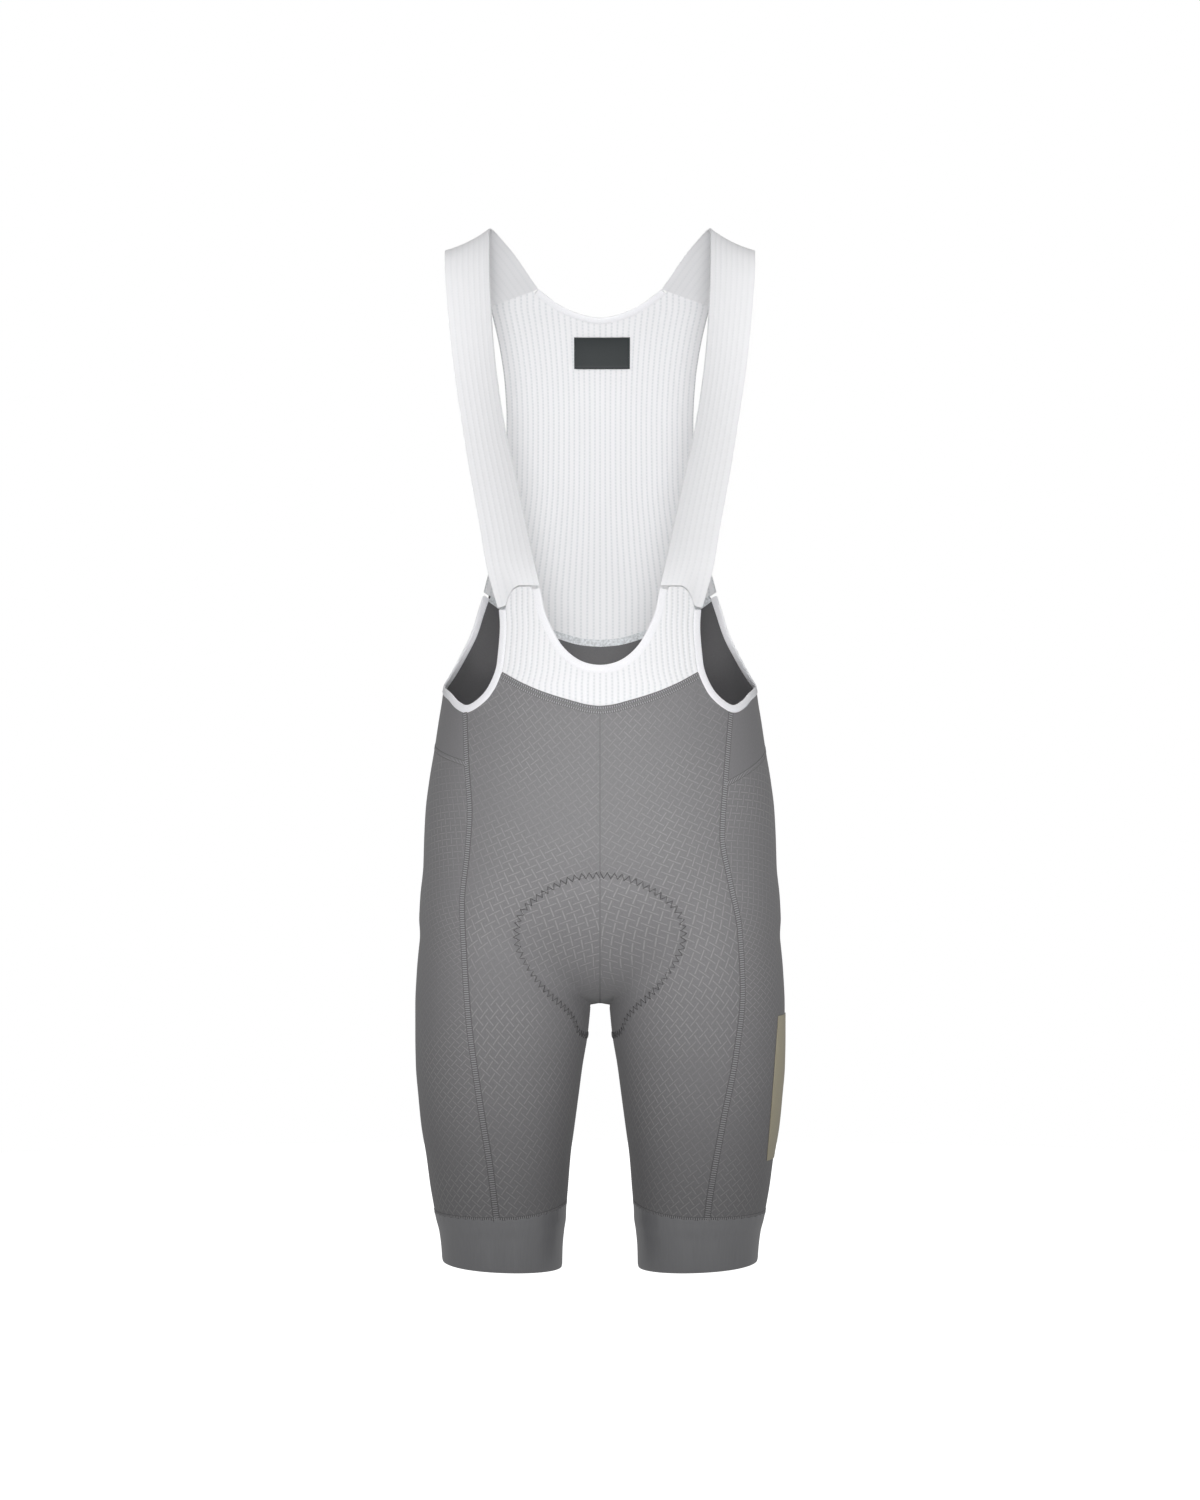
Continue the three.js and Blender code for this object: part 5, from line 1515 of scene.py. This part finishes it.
class BIB_OT_pad(PieceOperator, bpy.types.Operator):
    """Builds the seat pad inside the cloth"""
    bl_idname = "bib.pad"
    bl_label = "Seat pad"

    def execute(self, context):
        table = np.array(PAD, float)
        place = np.linspace(0, len(table) - 1, 121)
        dip = np.radians(np.interp(place, np.arange(len(table)), table[:, 0]))[:, None]
        half = np.interp(place, np.arange(len(table)), table[:, 1])[:, None]
        w = np.linspace(-1, 1, 41)[None, :]
        x = w * half
        dy, dz = -np.cos(dip) * np.ones_like(x), -np.sin(dip) * np.ones_like(x)
        near, far = np.zeros_like(x), np.full_like(x, REACH)
        for _ in range(HALVINGS):
            middle = (near + far) / 2
            inside = outside(section(PAD_CENTRE_Z + dz * middle), x, dy * middle) < 0
            near, far = np.where(inside, middle, near), np.where(inside, far, middle)
        grid = stack(x, dy * near, PAD_CENTRE_Z + dz * near)
        normal = normal_at(grid)
        ends = np.minimum(place, len(table) - 1 - place)[:, None] / 1.2
        swell = np.clip(1 - w ** 6, 0, 1) ** 0.5 * np.clip(ends, 0, 1) ** 0.5
        channel = PAD_CHANNEL_DEPTH * np.exp(-((np.abs(w) - PAD_CHANNEL_AT) / 0.07) ** 2)
        outer = grid + normal * (PAD_CLOTH_FACE - PAD_EDGE_DROP * (1 - swell))[..., None]
        inner = grid + normal * (PAD_SKIN_FACE - PAD_THICKNESS * swell + channel * swell)[..., None]
        points, quads = wall(outer, inner)
        pad = add_piece("chamois_pad_foam", points, [quads], material_of("pad"),
                        node="chamois_pad")
        return {"FINISHED"}


class BIB_OT_label_patch(PieceOperator, bpy.types.Operator):
    """Builds the plain neck label and the plain film on the left thigh"""
    bl_idname = "bib.label_patch"
    bl_label = "Label and film"

    def execute(self, context):
        u, v = np.meshgrid(np.linspace(-0.5, 0.5, 53), np.linspace(0.5, -0.5, 30))
        grid = torso_point(LABEL["x"] + u * LABEL["width"], LABEL["z"] + v * LABEL["height"], BACK)
        rim = np.minimum((0.5 - np.abs(u)) * LABEL["width"], (0.5 - np.abs(v)) * LABEL["height"])
        hem = LABEL_HEM_RISE * np.exp(-((rim - 1.2) / 0.5) ** 2)
        normal = normal_at(grid)
        outer, inner = (grid + normal * np.asarray(offset)[..., None]
                        for offset in (LABEL_BACK_FACE, LABEL_FRONT_FACE - hem))
        points, quads = wall(outer, inner)
        label = add_piece("neck_label_tape", points, [quads], material_of("label"),
                          node="neck_label")
        sheet(CUTS["neck_label"], ["bib_back"])
        z = np.linspace(PATCH["top_z"], PATCH["bottom_z"], 66)[:, None]
        start = turn_at_width(z, mix(PATCH["top_x"], PATCH["bottom_x"], np.linspace(0, 1, 66)[:, None]))
        length = np.linspace(0, PATCH["width"], 26)[None, :]
        grid = surface_point(z, moved_turn(z, start, length))
        outer, inner = shell(grid, np.full(grid.shape[:2], FILM_FACE), FILM_THICKNESS)
        points, quads = wall(outer, inner)
        patch = add_piece("leg_patch_film", points, [quads], material_of("patch"),
                          node="leg_patch")
        sheet(CUTS["leg_patch"], ["back_panel_left"])
        return {"FINISHED"}


def add_seams(name, bands, material="cover_stitch"):
    """Makes one object of several seam bands, given as points, quads and chart."""
    points, faces = merged([band[:2] for band in bands])
    chart = np.concatenate([band[2] for band in bands])
    return add_piece(name, points, faces, material_of(material), {"stitches": chart})


def pad_line(count):
    """The line on which the pad is sewn in, on one half: over the front, round the inner thigh, up behind."""
    front, back = (level_point(*zip(*half), facing)
                   for half, facing in ((PAD_LINE_FRONT, FRONT), (PAD_LINE_BACK, BACK)))
    inseam = surface_point([PAD_LINE_INSEAM_Z], math.pi)
    line, _ = even_line(catmull_rom(np.concatenate([front, inseam, back]), np.linspace(0, 1, count)), count)
    line = seat(line)
    return line, normal_at(line)


def centre_line(count):
    """The centre seam: down the middle of the front, under the crotch and up the middle of the back."""
    z = np.interp(refined(CENTRE_LEVELS, 3.0, 3), np.arange(len(CENTRE_LEVELS)), CENTRE_LEVELS)
    front = level_point(0, z, FRONT)
    back = level_point(0, z[(z < YOKE_BACK_Z) & (z > CROTCH_Z)][::-1], BACK)
    line, _ = even_line(np.concatenate([front, back]), count)
    normal = normal_at(line)
    under = smooth((UNDERSIDE_Z - line[:, 2]) / UNDERSIDE_FADE)[:, None]
    normal = unit(mix(normal, np.array([0.0, 0.0, -1.0]), under))
    lift = np.where(line[:, 1] < 0, pad_relief(line), 0)
    return line + normal * lift[:, None], normal


# Zigzag's width, pitch and thread radius; drops of the rows under the bib seam; widths; the yoke's overlock
ZIGZAG = (5.4, 6.2, 0.36)
BIB_ROWS = (1.9, 5.8)
BIB_ROW_WIDTH = 2.6
CENTRE_SEAM_WIDTH = 1.5
GRIPPER_SEAM_RISE = 0.6
OVERLOCK = {"reach": 102, "drop": 2.6, "depth": 1.3, "width": 6.4, "stitch": 2.0, "lift": 0.5}


class BIB_OT_sewing(PieceOperator, bpy.types.Operator):
    """Builds the cover-stitched seams, the pad's zigzag and the other sewing"""
    bl_idname = "bib.sewing"
    bl_label = "Sewing"

    def execute(self, context):
        sizes = self.sizes
        width, stitch = in_mm(sizes.seam_width), in_mm(sizes.stitch)
        for name, facts in SIDES.items():
            sign, seam = facts["sign"], facts["seam"]

            def band(line, *shape):
                return seam_band(mirrored(line, sign), mirrored(normal_at(line), sign), stitch, *shape)

            top = armhole_height(turn_at_width(np.array([seam[0][0]]), seam[0][1]))[0]
            side = band(seam_line(name, top, GRIPPER_TOP_Z - 2), width)
            u = np.linspace(0, 1, 260)
            z = yoke_lower_height(name, u)
            yoke = band(surface_point(z, back_turn(name, u, z, np.full(u.shape, YOKE_BACK_Z))), width * 0.75)
            z = np.linspace(CROTCH_Z - 4, GRIPPER_TOP_Z + GRIPPER_INNER_RISE - 2, 160)
            inseam = band(surface_point(z, np.full(z.shape, -math.pi)), width * 0.8)
            add_seams(f"side_seams_{name}", [side, yoke, inseam])
            turn = np.linspace(-math.pi, math.pi, 300)
            around = surface_point(gripper_top(turn) + GRIPPER_SEAM_RISE, turn)
            add_seams(f"gripper_seam_{name}", [band(around, 3.0, 0.5, 7)])
            line, normal = pad_line(900)
            points, threads, caps = zigzag(mirrored(line, sign), mirrored(normal, sign), *ZIGZAG)
            add_piece(f"pad_zigzag_{name}", points, [threads, caps], material_of("thread"))
        x = np.linspace(-BIB_CORNER[0], BIB_CORNER[0], 200)
        bands = []
        for drop in BIB_ROWS:
            line = torso_point(x, bib_seam_height(x) - drop, FRONT)
            bands.append(seam_band(line, normal_at(line), stitch, BIB_ROW_WIDTH, rows=5))
        add_seams("bib_seam_stitches", bands)
        line, normal = centre_line(600)
        add_seams("centre_seam", [seam_band(line, normal, stitch, CENTRE_SEAM_WIDTH, 0.16, 5)], "centre")
        x = np.linspace(-OVERLOCK["reach"], OVERLOCK["reach"], 300)
        line = torso_point(x, yoke_seam_height(x) - OVERLOCK["drop"], BACK)
        normal = normal_at(line)
        inside = line - normal * OVERLOCK["depth"]
        band = seam_band(inside, -normal, OVERLOCK["stitch"], OVERLOCK["width"], OVERLOCK["lift"])
        add_seams("yoke_overlock", [band], "overlock")
        return {"FINISHED"}


# Soft boxes of the studio: place and aim in metres, width, watts and spread in degrees
SOFT_BOXES = {
    "Left hip box": ((-1.2, -2.1, -0.5), (0, 0, -0.61), 0.4, 0.15, 12),
    "Right hip box": ((1.2, -2.1, -0.5), (0, 0, -0.61), 0.4, 0.15, 12),
    "High box": ((0, -2.6, 0.25), (0, 0, -0.06), 0.9, 2.1, 28),
}
AIR_LIGHT = 0.3
FLOOR_Z = -1100.0
FLOOR_RADIUS = 2600.0
CAMERA_PLACE = (0, -3.3, -0.4698)
CAMERA_LENS = 88


class BIB_OT_stage(bpy.types.Operator):
    """Builds the studio: a pale round floor, white air, soft boxes and the photo's camera"""
    bl_idname = "bib.stage"
    bl_label = "Studio"

    def execute(self, context):
        turn = np.linspace(0, 2 * math.pi, 97)[:-1]
        rim = stack(np.cos(turn) * FLOOR_RADIUS, np.sin(turn) * FLOOR_RADIUS, FLOOR_Z + 0 * turn)
        mesh = bpy.data.meshes.new("studio_floor")
        mesh.from_pydata((rim * MM).tolist(), [], [list(range(len(rim)))])
        mesh.materials.append(material_of("floor"))
        floor = bpy.data.objects.new("studio_floor", mesh)
        floor.visible_diffuse = False
        floor.visible_glossy = False
        context.scene.collection.objects.link(floor)
        context.scene.world = studio_air()
        for name, (place, aim, width, power, spread) in SOFT_BOXES.items():
            light = bpy.data.lights.new(name, "AREA")
            light.shape = "SQUARE"
            light.size = width
            light.energy = power
            light.spread = math.radians(spread)
            lamp = bpy.data.objects.new(name, light)
            lamp.location = place
            ahead = np.array(aim) - np.array(place)
            lamp.rotation_euler = (math.acos(-ahead[2] / np.linalg.norm(ahead)), 0,
                                   math.atan2(ahead[1], ahead[0]) - math.pi / 2)
            context.scene.collection.objects.link(lamp)
        camera = bpy.data.cameras.new("Photo camera")
        camera.sensor_fit = "VERTICAL"
        camera.sensor_height = 36
        camera.lens = CAMERA_LENS
        holder = bpy.data.objects.new("Photo camera", camera)
        holder.location = CAMERA_PLACE
        holder.rotation_euler = (math.pi / 2, 0, 0)
        context.scene.collection.objects.link(holder)
        context.scene.camera = holder
        context.scene.view_settings.view_transform = "Standard"
        return {"FINISHED"}


def studio_air():
    """White surroundings that are seen at full strength and light the garment softly."""
    world = bpy.data.worlds.new("Studio air")
    world.use_nodes = True
    tree = world.node_tree
    tree.nodes.clear()
    seen = add(tree, "ShaderNodeLightPath").outputs["Is Camera Ray"]
    strength = add(tree, "ShaderNodeMapRange", {0: seen, 3: AIR_LIGHT, 4: 1.0})
    air = add(tree, "ShaderNodeBackground", {0: (1, 1, 1, 1), 1: strength})
    add(tree, "ShaderNodeOutputWorld", {"Surface": air})
    return world


PIECES = (
    BIB_OT_front_panels, BIB_OT_back_panels, BIB_OT_yoke, BIB_OT_mesh, BIB_OT_straps, BIB_OT_bindings,
    BIB_OT_grippers, BIB_OT_pad, BIB_OT_label_patch, BIB_OT_sewing, BIB_OT_stage,
)


class VIEW3D_PT_bib_shorts(bpy.types.Panel):
    """Lists the garment's pieces, sizes and colours"""
    bl_idname = "VIEW3D_PT_bib_shorts"
    bl_label = "Bib shorts"
    bl_space_type = "VIEW_3D"
    bl_region_type = "UI"
    bl_category = "Bib shorts"

    def draw(self, context):
        for operator in PIECES:
            self.layout.operator(operator.bl_idname)
        for group in (context.scene.shorts_sizes, context.scene.shorts_colours):
            for name in group.bl_rna.properties.keys():
                if name not in ("rna_type", "name"):
                    self.layout.prop(group, name)


CLASSES = (ShortsSizes, ShortsColours, *PIECES, VIEW3D_PT_bib_shorts)


def register():
    for cls in CLASSES:
        bpy.utils.register_class(cls)
    bpy.types.Scene.shorts_sizes = bpy.props.PointerProperty(type=ShortsSizes)
    bpy.types.Scene.shorts_colours = bpy.props.PointerProperty(type=ShortsColours)


def unregister():
    del bpy.types.Scene.shorts_sizes
    del bpy.types.Scene.shorts_colours
    for cls in reversed(CLASSES):
        bpy.utils.unregister_class(cls)


def main():
    register()
    for operator in PIECES:
        group, name = operator.bl_idname.split(".")
        getattr(getattr(bpy.ops, group), name)()


if __name__ == "__main__":
    main()
